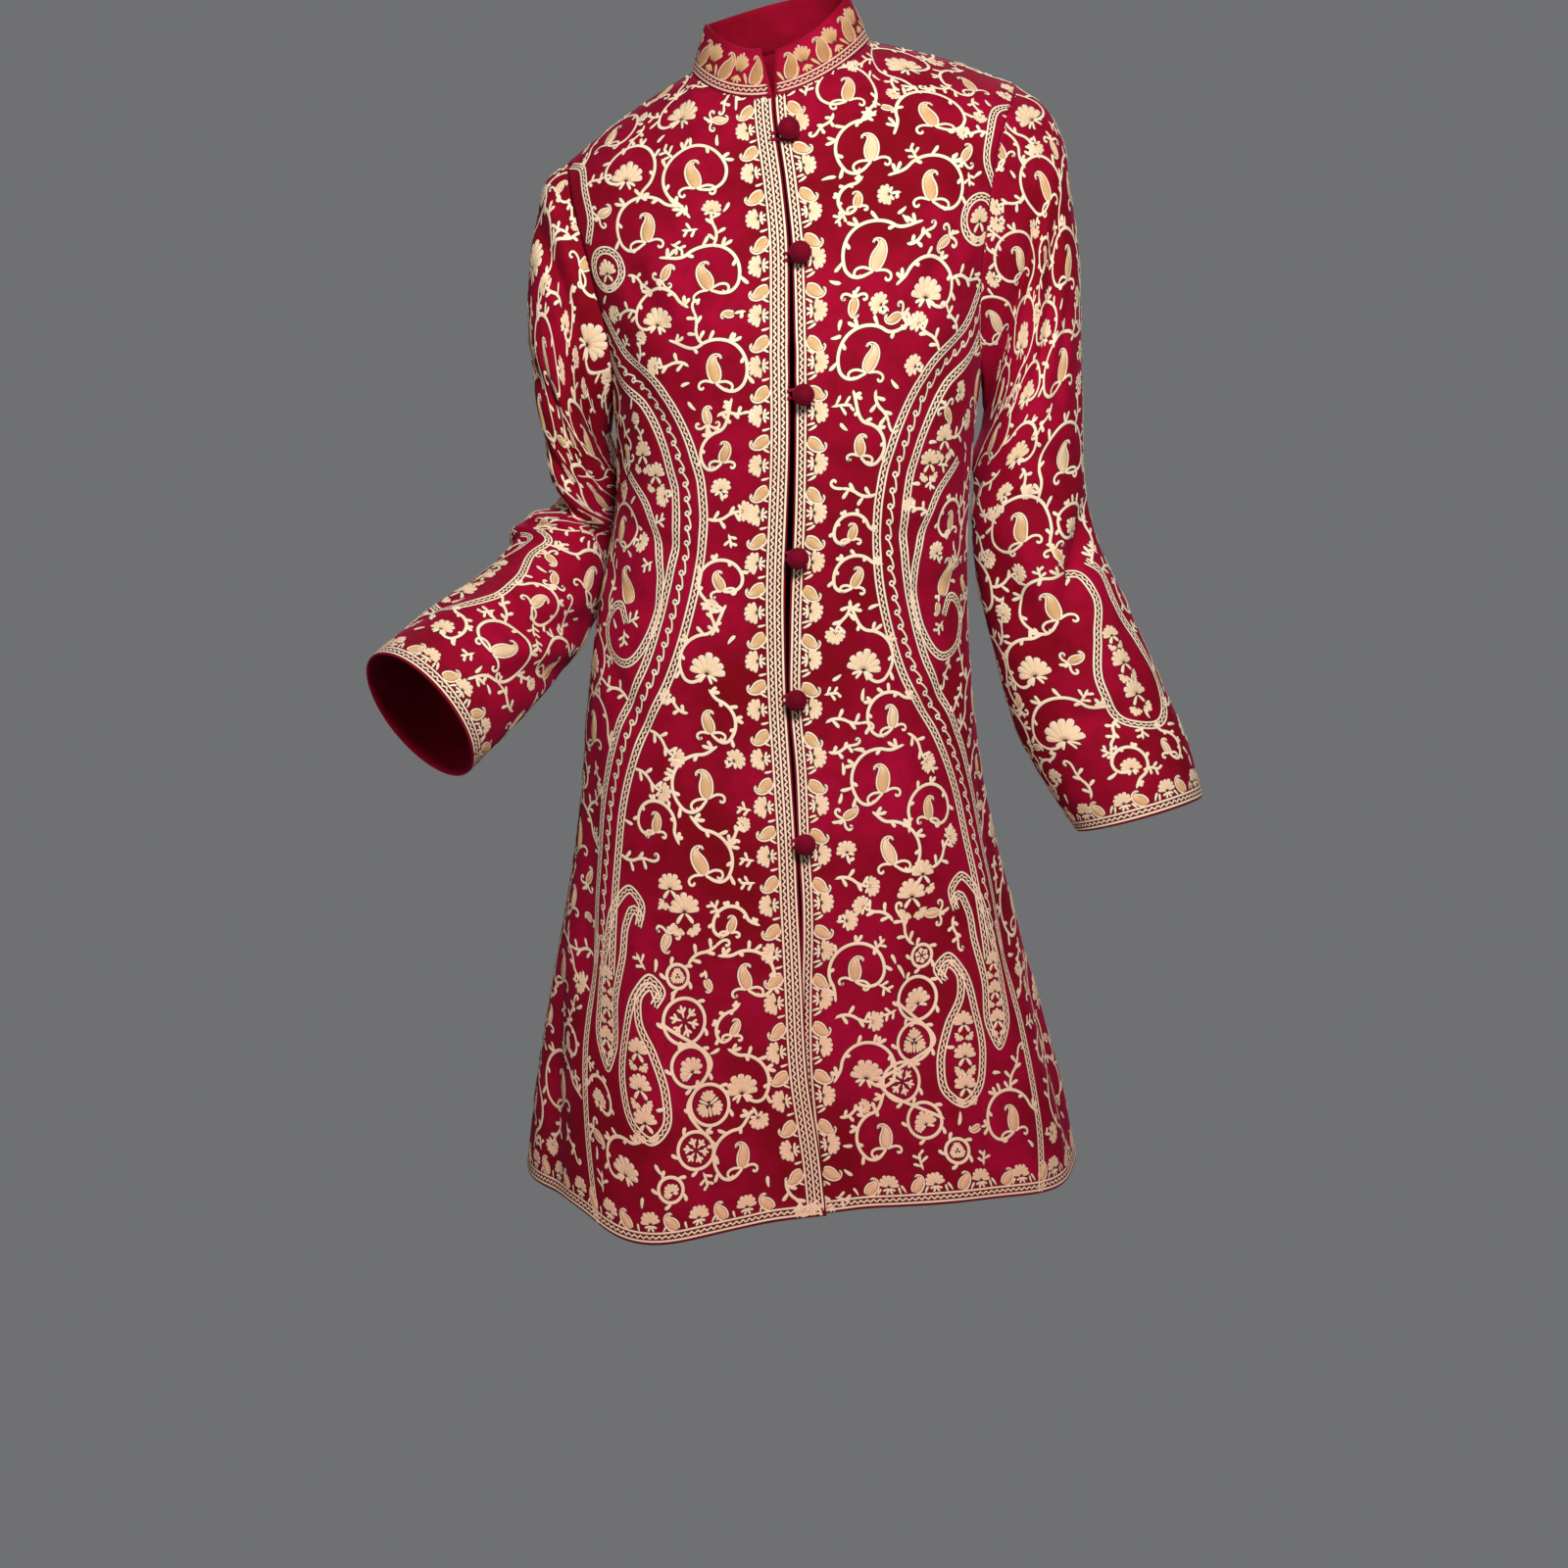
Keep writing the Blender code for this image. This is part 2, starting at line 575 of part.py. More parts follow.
def collar_points(grids, normals):
    """The collar's outer and inner points, in columns from the right front edge round to the left one."""
    neck = int(round(NECK_SHARE * FRONT_COLUMNS))
    wide = FRONT_COLUMNS
    right = [("front_right", wide - i, wide - i) for i in range(neck + 1)]
    back_right = [("back", 2 * wide - i, None) for i in range(wide - neck + 1, wide)]
    middle = [("back", wide, None)]
    back_left = [("back", wide - i, None) for i in range(1, neck)]
    left = [("front_left", neck - i, None) for i in range(neck + 1)]
    picks = right + back_right + middle + back_left + left
    base = np.array([grids[name][0, i] for name, i, _ in picks])
    facing = np.array([normals[name][0, i] for name, i, _ in picks])
    tangent = unit(np.gradient(base, axis=0))
    outward = np.cross(facing, tangent)
    middle_point = base.mean(axis=0)
    towards = middle_point - base
    outward *= np.sign((outward * towards).sum(axis=1, keepdims=True))
    up = np.array([0.0, 0.0, 1.0])
    flat = towards * np.array([1.0, 1.0, 0.0])
    round_it = np.linspace(-1.0, 1.0, len(base))
    lean_in = np.interp(round_it, [-0.45, 0.0, 0.45], COLLAR_LEAN_IN)[:, None]
    rise = unit(up * COLLAR_HEIGHT + unit(flat) * lean_in)
    first, first_inner = seam_row(base, unit(facing), unit(outward), rise, COLLAR_WALL)
    heights = np.linspace(0.0, 1.0, COLLAR_ROWS + 1)
    ends = np.abs(round_it) ** 16 * np.where(round_it < 0, -COLLAR_NOTCH[0], COLLAR_NOTCH[1])
    rows, inner_rows = [first], [first_inner]
    for h in heights[1:]:
        lift = first + rise * COLLAR_HEIGHT * h
        lift = lift + (ends * h)[:, None] * np.array([1.0, 0.0, 0.0])
        into = unit(-(lift - middle_point) * np.array([1.0, 1.0, 0.0]))
        rows.append(lift)
        inner_rows.append(lift + into * COLLAR_WALL)
    return np.array(rows), np.array(inner_rows)


def front_place(grid, normals, drop, inset):
    """The point and normal on the left front that is drop below the origin and inset from its edge."""
    rows = grid[:, 0]
    row = int(np.argmin(np.abs(rows[:, 2] + drop)))
    row = max(1, min(len(rows) - 2, row))
    other = row + 1 if rows[row, 2] > -drop else row - 1
    share = (rows[row, 2] + drop) / (rows[row, 2] - rows[other, 2])
    line = grid[row] * (1 - share) + grid[other] * share
    facing = normals[row] * (1 - share) + normals[other] * share
    length = np.concatenate([[0.0], np.cumsum(np.linalg.norm(np.diff(line, axis=0), axis=1))])
    point = np.array([np.interp(inset, length, line[:, i]) for i in range(3)])
    normal = np.array([np.interp(inset, length, facing[:, i]) for i in range(3)])
    return point, unit(normal)


def button(name, point, normal):
    """A ball button: a cloth-covered ball on a short shank."""
    sides, rings = 12, 7
    across = unit(np.cross(normal, [0.0, 0.0, 1.0]))
    upright = np.cross(across, normal)
    start = SEAM + 0.0002
    lift = start + 2 * LOOP_CORD_RADIUS + 0.0014
    centre_height = lift + BUTTON_RADIUS * 0.96
    profile = [(SHANK_RADIUS, start), (SHANK_RADIUS, lift)]
    for i in range(rings):
        angle = math.radians(-62.0 + (62.0 + 74.0) * i / (rings - 1))
        profile.append((BUTTON_RADIUS * math.cos(angle), centre_height + BUTTON_RADIUS * math.sin(angle)))
    vertices = [point + normal * start]
    for radius, height in profile:
        for s in range(sides):
            a = 2 * math.pi * s / sides
            vertices.append(point + normal * height + radius * (math.cos(a) * across + math.sin(a) * upright))
    vertices.append(point + normal * (centre_height + BUTTON_RADIUS))
    faces = []
    for s in range(sides):
        n = (s + 1) % sides
        faces.append((0, 1 + s, 1 + n))
        for r in range(len(profile) - 1):
            a, b = 1 + r * sides, 1 + (r + 1) * sides
            faces.append((a + s, b + s, b + n, a + n))
        last = 1 + (len(profile) - 1) * sides
        faces.append((last + s, len(vertices) - 1, last + n))
    return mesh_object(name, vertices, faces)


def tube(name, path, radius, sides):
    """A round cord along a path, closed at both ends."""
    path = np.asarray(path, float)
    heading = unit(np.gradient(path, axis=0))
    side = unit(np.cross(heading[0], np.cross(heading[0], path[-1] - path[0]) + 1e-9))
    vertices = []
    for i, spot in enumerate(path):
        if i:
            side = carried(side, heading[i - 1], heading[i])
        other = np.cross(heading[i], side)
        for s in range(sides):
            a = 2 * math.pi * s / sides
            vertices.append(spot + radius * (math.cos(a) * side + math.sin(a) * other))
    vertices += [path[0], path[-1]]
    first, last = len(vertices) - 2, len(vertices) - 1
    faces = []
    for s in range(sides):
        n = (s + 1) % sides
        faces.append((first, n, s))
        faces.append((last, last - 1 - sides + s, last - 1 - sides + n))
        for r in range(len(path) - 1):
            a, b = r * sides, (r + 1) * sides
            faces.append((a + s, a + n, b + n, b + s))
    return mesh_object(name, vertices, faces)


def loop(name, point, normal, reach):
    """A cord loop from the right front's edge round the button's shank."""
    across = unit(np.cross(normal, [0.0, 0.0, 1.0]))
    upright = np.cross(across, normal)
    if across[0] < 0:
        across, upright = -across, -upright
    turn = LOOP_TURN_RADIUS
    half = [(-reach, turn * 0.62), (-reach * 0.78, turn * 0.68), (-reach * 0.55, turn * 0.80)]
    for i in range(4):
        angle = math.radians(118.0 - 29.5 * i)
        half.append((turn * math.cos(angle), turn * math.sin(angle)))
    path = half + [(turn, 0.0)] + [(x, -z) for x, z in half[::-1]]
    spots = [point + across * x + upright * z + normal * LOOP_LIFT for x, z in path]
    return tube(name, spots, LOOP_CORD_RADIUS, 6)


def material(name, colour, roughness):
    made = bpy.data.materials.new(name)
    made.use_nodes = True
    shader = made.node_tree.nodes["Principled BSDF"]
    shader.inputs["Base Color"].default_value = (*colour, 1.0)
    shader.inputs["Roughness"].default_value = roughness
    return made


def main():
    for old in list(bpy.data.objects):
        bpy.data.objects.remove(old)
    grids = panels(FRONT_COLUMNS, ARMHOLE_ROWS, SKIRT_ROWS)
    normals = panel_normals(grids)
    made = []
    for name, grid in grids.items():
        made.append(wall_object(name, grid, grid - WALL * normals[name]))
    for name, side, table, folds in (
        ("sleeve_right", -1, RIGHT_SLEEVE, RIGHT_FOLDS),
        ("sleeve_left", 1, LEFT_SLEEVE, LEFT_FOLDS),
    ):
        loop_points = armhole_loop(grids, normals, side, ARMHOLE_ROWS)
        outer, inner = sleeve(table, folds, side, (*loop_points, ARMHOLE_ROWS), SLEEVE_ROWS, WALL)
        made.append(wall_object(name, outer, inner, closed=True))
    made.append(wall_object("collar", *collar_points(grids, normals)))
    for number, (drop, inset) in enumerate(BUTTONS, start=1):
        point, normal = front_place(grids["front_left"], normals["front_left"], drop, inset)
        made.append(button(f"button_{number}", point, normal))
        made.append(loop(f"loop_{number}", point, normal, inset + LOOP_REACH))
    for piece in made:
        colour, roughness = LOOKS.get(piece.name.split("_")[0], CLOTH)
        piece.data.materials.append(material(f"{piece.name}_cloth", colour, roughness))


main()
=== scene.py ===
"""Looks of the embroidered long jacket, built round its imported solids. Metres, +Z up, the front faces -Y."""

import math

import bmesh
import bpy
import numpy as np
from mathutils import Matrix, Vector


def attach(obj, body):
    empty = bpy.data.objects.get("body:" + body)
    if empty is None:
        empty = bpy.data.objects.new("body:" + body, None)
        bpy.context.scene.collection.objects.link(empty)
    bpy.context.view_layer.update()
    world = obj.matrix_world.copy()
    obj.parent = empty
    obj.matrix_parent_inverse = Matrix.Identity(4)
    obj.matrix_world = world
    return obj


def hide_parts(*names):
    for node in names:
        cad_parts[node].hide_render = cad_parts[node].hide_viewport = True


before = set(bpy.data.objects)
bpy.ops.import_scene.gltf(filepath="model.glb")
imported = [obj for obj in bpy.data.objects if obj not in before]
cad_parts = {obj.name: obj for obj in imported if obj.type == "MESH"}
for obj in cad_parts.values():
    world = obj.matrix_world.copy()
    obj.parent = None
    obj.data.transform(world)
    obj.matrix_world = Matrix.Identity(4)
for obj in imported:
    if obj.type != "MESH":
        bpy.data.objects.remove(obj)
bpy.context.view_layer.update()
rng = np.random.default_rng(20)

WALL = 0.0018
COLLAR_WALL = 0.0026
SEAM = 0.0003

# Torso sections, top to bottom.
TORSO_COLUMNS = ("z", "middle", "half", "front", "back", "turn")
TORSO = (
    (-0.115, -0.001, 0.198, 0.106, 0.100, -5.0),
    (-0.180, 0.001, 0.182, 0.132, 0.112, -5.0),
    (-0.240, 0.003, 0.167, 0.142, 0.113, -4.0),
    (-0.300, 0.001, 0.159, 0.143, 0.108, -2.5),
    (-0.380, -0.004, 0.155, 0.134, 0.099, -0.5),
    (-0.470, -0.014, 0.163, 0.128, 0.099, 3.0),
    (-0.560, -0.018, 0.172, 0.130, 0.113, 5.5),
    (-0.650, -0.017, 0.182, 0.136, 0.128, 6.0),
    (-0.740, -0.014, 0.200, 0.145, 0.139, 5.5),
    (-0.820, -0.012, 0.219, 0.155, 0.149, 5.0),
    (-0.900, -0.009, 0.237, 0.166, 0.160, 5.5),
    (-0.979, -0.006, 0.251, 0.178, 0.170, 6.0),
)
ROUNDNESS = 2.25
FIRST_SECTION_Z = TORSO[0][0]
HEM_Z = TORSO[-1][0]
LEAN_Z = (-0.50, -0.40, -0.25, -0.12, 0.0, 0.06)
LEAN = (0.0, 0.012, 0.06, 0.15, 0.155, 0.155)

NECK_MIDDLE = -0.008
NECK_TURN = -6.0
NECK_HALF = 0.0765
NECK_FRONT = 0.066
NECK_BACK = 0.062
NECK_SEAM_Y = 0.006
NECK_FRONT_DROP = 0.037
NECK_BACK_RISE = 0.010
SHOULDER_X = 0.190
SHOULDER_Y = 0.010
SHOULDER_Z = -0.056
NECK_SHARE = 0.44
CAP_LENGTH = 0.105
ARMHOLE_ANGLE = 63.0
UNDERARM_Z = -0.285
SIDE_ANGLE = 90.0
PAST_MIDDLE_ANGLE = 12.0
SHOULDER_EASE = 0.002
SHOULDER_ARCH = 0.004

EDGE_COLUMNS = ("z", "right_front", "left_front")
EDGES = (
    (-0.040, -0.0006, 0.0006),
    (-0.100, 0.0012, 0.0028),
    (-0.170, 0.0066, 0.0086),
    (-0.240, 0.0016, 0.0056),
    (-0.330, -0.0016, 0.0026),
    (-0.420, -0.0050, 0.0002),
    (-0.490, -0.0056, -0.0020),
    (-0.541, -0.0062, -0.0044),
    (-0.600, -0.0052, -0.0022),
    (-0.664, -0.0042, -0.0026),
    (-0.710, -0.0045, -0.0021),
    (-0.800, -0.0034, -0.0060),
    (-0.870, -0.0036, -0.0095),
    (-0.930, 0.0004, -0.0090),
    (-0.990, 0.0014, -0.0085),
)
TUCK_TOP_Z = -0.73
TUCK_FULL_Z = -0.80
TUCK_DEPTH = 0.0065
TUCK_WIDTH = 0.075

# Flares of the skirt: angle, half width in degrees, stand-out at the hem, drop of the hem, starting height.
FLARES = (
    (-31.0, 17.0, 0.022, 0.020, -0.58),
    (-68.0, 12.0, -0.006, 0.0, -0.62),
    (12.0, 9.0, -0.009, 0.0, -0.76),
    (52.0, 15.0, 0.010, 0.006, -0.62),
    (-116.0, 12.0, -0.010, 0.0, -0.60),
    (-146.0, 15.0, 0.020, 0.005, -0.56),
    (178.0, 14.0, -0.016, -0.004, -0.54),
    (146.0, 15.0, 0.020, 0.005, -0.58),
    (114.0, 11.0, -0.009, 0.0, -0.62),
)

# Sleeve sections: x, y, z, heading, dip, across, deep.
LEFT_SLEEVE = (
    (0.1965, 0.004, -0.1690, 0.0, 12.0, 0.1210, 0.060),
    (0.2032, 0.005, -0.1850, 0.0, 16.5, 0.1120, 0.062),
    (0.2060, 0.006, -0.2110, 0.0, 20.5, 0.0995, 0.063),
    (0.2085, 0.007, -0.2425, 0.0, 27.5, 0.0860, 0.063),
    (0.2062, 0.008, -0.2840, 0.0, 37.5, 0.0725, 0.062),
    (0.2052, 0.009, -0.3340, 0.0, 55.0, 0.0575, 0.060),
    (0.2045, 0.009, -0.3830, 0.0, 70.5, 0.0525, 0.058),
    (0.2098, 0.008, -0.4275, 2.0, 74.0, 0.0550, 0.059),
    (0.2320, 0.003, -0.4960, 4.0, 73.0, 0.0620, 0.061),
    (0.2565, -0.004, -0.5670, 8.0, 71.0, 0.0675, 0.063),
    (0.2825, -0.013, -0.6220, 16.0, 72.0, 0.0650, 0.065),
    (0.3005, -0.020, -0.6635, 26.0, 73.0, 0.0575, 0.066),
)
RIGHT_SLEEVE = (
    (0.1930, 0.006, -0.2020, 0.0, 12.0, 0.1000, 0.060),
    (0.1970, 0.008, -0.2210, -4.0, 15.0, 0.0930, 0.062),
    (0.2000, 0.011, -0.2425, -8.0, 18.0, 0.0850, 0.062),
    (0.1992, 0.015, -0.2730, -12.0, 24.0, 0.0730, 0.062),
    (0.1970, 0.021, -0.3040, -14.0, 30.0, 0.0610, 0.062),
    (0.1935, 0.029, -0.3350, -16.0, 38.0, 0.0480, 0.063),
    (0.1930, 0.039, -0.3750, -20.0, 58.0, 0.0360, 0.064),
    (0.2050, 0.042, -0.4180, 55.0, 70.0, 0.0400, 0.064),
    (0.2235, 0.022, -0.4580, 56.0, 46.0, 0.0480, 0.064),
    (0.2455, -0.012, -0.4850, 56.0, 34.0, 0.0540, 0.064),
    (0.2740, -0.058, -0.5080, 53.0, 30.0, 0.0590, 0.065),
    (0.3030, -0.099, -0.5320, 47.0, 30.0, 0.0615, 0.066),
    (0.3230, -0.130, -0.5490, 41.0, 31.0, 0.0620, 0.067),
)

# Folds of the sleeves: from share and angle, to share and angle, width, depth. Minus depths are ridges.
SLEEVE_LENGTH = 0.60
SLEEVE_RADIUS = 0.060
WIDE_FOLD = 0.0125
SECTION_SPACING = 0.012
LEFT_FOLDS = (
    (0.09, 71.0, 0.08, 140.0, 0.013, 0.012),
    (0.13, 58.0, 0.29, 88.0, 0.013, 0.010),
    (0.53, 26.0, 0.66, 88.0, 0.014, 0.011),
    (0.81, 116.0, 0.84, 62.0, 0.014, 0.008),
    (0.54, 140.0, 0.76, 100.0, 0.024, 0.009),
    (0.16, 250.0, 0.48, 266.0, 0.018, 0.011),
    (0.56, 306.0, 0.80, 258.0, 0.018, 0.009),
    (-0.08, 186.0, 0.34, 202.0, 0.024, -0.023),
    (0.22, 44.0, 0.38, 70.0, 0.008, 0.003),
    (0.40, 96.0, 0.47, 40.0, 0.008, 0.004),
    (0.47, 104.0, 0.53, 52.0, 0.007, 0.003),
    (0.62, 120.0, 0.66, 168.0, 0.009, 0.004),
    (0.70, 36.0, 0.90, 50.0, 0.010, 0.003),
    (0.33, 150.0, 0.45, 176.0, 0.009, 0.004),
    (0.30, 300.0, 0.44, 330.0, 0.010, 0.004),
    (0.66, 226.0, 0.92, 236.0, 0.011, 0.004),
)
RIGHT_FOLDS = (
    (0.10, 20.0, 0.06, 100.0, 0.013, 0.013),
    (0.06, 118.0, 0.28, 182.0, 0.014, 0.013),
    (0.455, -20.0, 0.460, 104.0, 0.016, 0.033),
    (0.395, -30.0, 0.415, 62.0, 0.026, 0.012),
    (0.47, 124.0, 0.54, 170.0, 0.014, 0.011),
    (0.65, 178.0, 0.84, 107.0, 0.015, 0.010),
    (0.72, 200.0, 0.90, 140.0, 0.015, 0.008),
    (0.29, 40.0, 0.24, 96.0, 0.014, 0.008),
    (0.18, 262.0, 0.40, 290.0, 0.018, 0.011),
    (0.60, 250.0, 0.84, 292.0, 0.018, 0.008),
    (0.530, -44.0, 0.530, 52.0, 0.020, -0.012),
    (-0.08, 186.0, 0.36, 204.0, 0.024, -0.026),
    (0.36, 30.0, 0.38, 110.0, 0.007, 0.004),
    (0.51, 10.0, 0.54, 96.0, 0.008, 0.005),
    (0.20, 76.0, 0.34, 140.0, 0.008, 0.004),
    (0.58, 60.0, 0.72, 20.0, 0.009, 0.003),
    (0.78, 70.0, 0.90, 40.0, 0.009, 0.003),
    (0.52, 230.0, 0.60, 300.0, 0.010, 0.004),
)

# Soft creases of the fronts and the back: across and down at each end, width and depth, in metres.
FRONT_CREASES = (
    (0.150, 0.150, 0.090, 0.235, 0.012, 0.0030),
    (0.165, 0.230, 0.110, 0.300, 0.010, 0.0026),
    (0.060, 0.100, 0.085, 0.190, 0.016, 0.0022),
    (0.030, 0.330, 0.120, 0.352, 0.010, 0.0016),
    (0.170, 0.385, 0.075, 0.405, 0.009, 0.0024),
    (0.190, 0.430, 0.110, 0.452, 0.009, 0.0022),
    (0.180, 0.500, 0.120, 0.560, 0.012, 0.0026),
    (0.070, 0.560, 0.078, 0.700, 0.018, 0.0030),
    (0.200, 0.600, 0.215, 0.800, 0.016, 0.0034),
    (0.110, 0.740, 0.105, 0.955, 0.020, 0.0050),
    (0.060, 0.820, 0.045, 0.965, 0.014, 0.0034),
    (0.260, 0.780, 0.285, 0.960, 0.016, 0.0040),
)
BACK_CREASES = (
    (-0.120, 0.120, -0.060, 0.230, 0.016, 0.0030),
    (0.125, 0.115, 0.070, 0.240, 0.016, 0.0030),
    (-0.150, 0.330, -0.030, 0.372, 0.012, 0.0030),
    (0.155, 0.340, 0.020, 0.395, 0.012, 0.0030),
    (-0.160, 0.410, -0.060, 0.432, 0.010, 0.0026),
    (0.150, 0.430, 0.050, 0.452, 0.010, 0.0024),
    (-0.100, 0.560, -0.115, 0.800, 0.018, 0.0040),
    (0.060, 0.600, 0.075, 0.900, 0.018, 0.0040),
    (0.200, 0.640, 0.245, 0.930, 0.018, 0.0044),
    (-0.210, 0.660, -0.250, 0.940, 0.018, 0.0044),
)

COLLAR_HEIGHT = 0.041
COLLAR_LEAN_IN = (0.012, 0.011, 0.018)
COLLAR_NOTCH = (0.0115, 0.0)

# Each button's place on the left front: how far below the origin, and how far in from the edge.
BUTTONS = (
    (0.0773, 0.0112), (0.1756, 0.0080), (0.2860, 0.0072), (0.4201, 0.0044), (0.5410, 0.0050),
    (0.6636, 0.0048),
)
BUTTON_RADIUS = 0.0092
SHANK_RADIUS = 0.0024
LOOP_CORD_RADIUS = 0.0013
LOOP_TURN_RADIUS = 0.0046
LOOP_LIFT = 0.0019
LOOP_REACH = 0.006

# Mesh density. The crowding of rows is towards the underarm on the panels, and to the top of a sleeve.
SECTION_POINTS = 70
FRONT_COLUMNS = 50
ARMHOLE_ROWS = 44
SKIRT_ROWS = 130
SLEEVE_ROWS = 128
COLLAR_ROWS = 10
PANEL_CROWDING = 1.25
SLEEVE_CROWDING = 1.1

# Above this level the way down is measured over the shoulder.
CHEST_LEVEL = 0.15


def weights(t):
    """What a curve between two points takes of its start, the slope there, its end and the slope there."""
    return 2 * t**3 - 3 * t**2 + 1, t**3 - 2 * t**2 + t, 3 * t**2 - 2 * t**3, t**3 - t**2


def smooth(knots, values, at):
    """A smooth curve through values at rising knots, read at the places in at."""
    knots = np.asarray(knots, float)
    values = np.asarray(values, float)
    at = np.clip(np.asarray(at, float), knots[0], knots[-1])
    slopes = np.gradient(values, knots, axis=0)
    index = np.clip(np.searchsorted(knots, at, side="right") - 1, 0, len(knots) - 2)
    step = knots[index + 1] - knots[index]
    t = (at - knots[index]) / step
    shape = (-1,) + (1,) * (values.ndim - 1)
    t = t.reshape(shape)
    step = step.reshape(shape)
    a, b, c, d = weights(t)
    start = a * values[index] + b * step * slopes[index]
    end = c * values[index + 1] + d * step * slopes[index + 1]
    return start + end


def fade(x, low, high):
    """0 below low and 1 above high, smooth between; low may be the larger one."""
    t = np.clip((np.asarray(x, float) - low) / (high - low), 0.0, 1.0)
    return t * t * (3 - 2 * t)


def unit(vectors):
    vectors = np.asarray(vectors, float)
    length = np.linalg.norm(vectors, axis=-1, keepdims=True)
    return vectors / np.maximum(length, 1e-12)


def lengths(points):
    """How far along a line each of its points lies."""
    return np.concatenate([[0.0], np.cumsum(np.linalg.norm(np.diff(points, axis=0), axis=1))])


def read_line(at, length, points):
    """The places on a line at the lengths in at."""
    return np.stack([np.interp(at, length, points[:, i]) for i in range(points.shape[1])], axis=-1)


def column(table, columns, name):
    return np.array([row[columns.index(name)] for row in table])


def torso_size(name, z):
    heights = column(TORSO, TORSO_COLUMNS, "z")[::-1]
    return smooth(heights, column(TORSO, TORSO_COLUMNS, name)[::-1], np.atleast_1d(z))


def turned(x, y, degrees):
    angle = np.radians(degrees)
    return x * np.cos(angle) - y * np.sin(angle), x * np.sin(angle) + y * np.cos(angle)


def angle_gap(angle, middle):
    return (np.asarray(angle, float) - middle + 180.0) % 360.0 - 180.0


def torso_ring(z, angles):
    """Points of the torso section at height z, at the given angles round it, before the lean."""
    z = float(z)
    half, front, back, middle, turn = (
        float(torso_size(name, z)[0]) for name in ("half", "front", "back", "middle", "turn")
    )
    radians = np.radians(angles)
    sine, cosine = np.sin(radians), np.cos(radians)
    power = 2 / ROUNDNESS
    x = half * np.sign(sine) * np.abs(sine) ** power
    y = -np.where(cosine > 0, front, back) * np.sign(cosine) * np.abs(cosine) ** power
    down = np.zeros_like(x)
    reach = np.hypot(x, y)
    grow = np.zeros_like(x)
    for angle, width, out, drop, top in FLARES:
        weight = np.exp(-((angle_gap(angles, angle) / width) ** 2))
        amount = float(fade(z, top, HEM_Z)) * weight
        grow += out * amount
        down += drop * amount
    x, y = turned(x * (1 + grow / reach), y * (1 + grow / reach), turn)
    return np.stack([x + middle, y, z - down], axis=1)


def edge_reach(side, z):
    """Where a front's edge lies along its section, in metres from the middle line, away from the middle."""
    name = "left_front" if side > 0 else "right_front"
    heights = column(EDGES, EDGE_COLUMNS, "z")[::-1]
    return side * float(smooth(heights, column(EDGES, EDGE_COLUMNS, name)[::-1], [z])[0])


def armhole_angle(z):
    """The angle of the armhole's edge at height z, or of the side seam below it."""
    share = np.clip((FIRST_SECTION_Z - z) / (FIRST_SECTION_Z - UNDERARM_Z), 0.0, 1.0)
    return ARMHOLE_ANGLE + (SIDE_ANGLE - ARMHOLE_ANGLE) * (1 - (1 - share**2.6) ** 0.5)


def panel_ring(side, face, z, shares):
    """A row of one quarter of the torso, from the centre line to the armhole or side seam."""
    end = float(armhole_angle(z))
    dense = np.linspace(-PAST_MIDDLE_ANGLE, end, SECTION_POINTS)
    points = torso_ring(z, side * (dense if face > 0 else 180.0 - dense))
    length = lengths(points)
    length -= np.interp(0.0, dense, length)
    start = edge_reach(side, z) if face > 0 else 0.0
    finish = length[-1] - (SEAM / 2 if end > SIDE_ANGLE - 0.01 else 0.0)
    wanted = start + (finish - start) * np.asarray(shares)
    row = read_line(wanted, length, points)
    if side > 0 and face > 0:
        tuck = TUCK_DEPTH * float(fade(z, TUCK_TOP_Z, TUCK_FULL_Z))
        row[:, 1] += tuck * (1 - fade(wanted, TUCK_WIDTH * 0.3, TUCK_WIDTH))
    return row


def top_edge(side, face, shares):
    """The neckline and then the shoulder seam of one quarter, before the lean."""
    shares = np.asarray(shares, float)
    radians = np.radians(np.clip(shares / NECK_SHARE, 0.0, 1.0) * 90.0)
    depth = NECK_FRONT if face > 0 else NECK_BACK
    start = edge_reach(side, EDGES[0][0]) if face > 0 else 0.0
    x = start + (NECK_HALF - start) * np.sin(radians)
    y = NECK_SEAM_Y - face * (depth + face * NECK_SEAM_Y) * np.cos(radians)
    rise = -NECK_FRONT_DROP if face > 0 else NECK_BACK_RISE
    z = rise * np.cos(radians) ** 1.6
    x, y = turned(side * x, y, NECK_TURN * np.cos(radians))
    along = np.clip((shares - NECK_SHARE) / (1 - NECK_SHARE), 0.0, 1.0)
    shoulder = side * (SHOULDER_X + SHOULDER_EASE)
    seam = side * NECK_HALF + (shoulder - side * NECK_HALF) * along
    x = np.where(along > 0, seam, x) + NECK_MIDDLE * (1 - along)
    y = y + (SHOULDER_Y - NECK_SEAM_Y) * along - face * SEAM / 2 * (shares >= NECK_SHARE)
    z = z + SHOULDER_Z * along + SHOULDER_ARCH * np.sin(np.pi * along)
    return np.stack([x, y, z], axis=1)


def top_heading(side, face, shares):
    """The way in which the cloth leaves the neckline and the shoulder seam."""
    over = fade(shares, 0.0, NECK_SHARE)
    return unit(np.stack([side * 0.10 * over, -face * (0.50 + 0.42 * over), -0.86 + 0.50 * over], axis=1))


def lean(points):
    """Raises the wearer's left side and lowers the right, most at the shoulders."""
    points = np.array(points, float)
    points[..., 2] += np.interp(points[..., 2], LEAN_Z, LEAN) * points[..., 0]
    return points


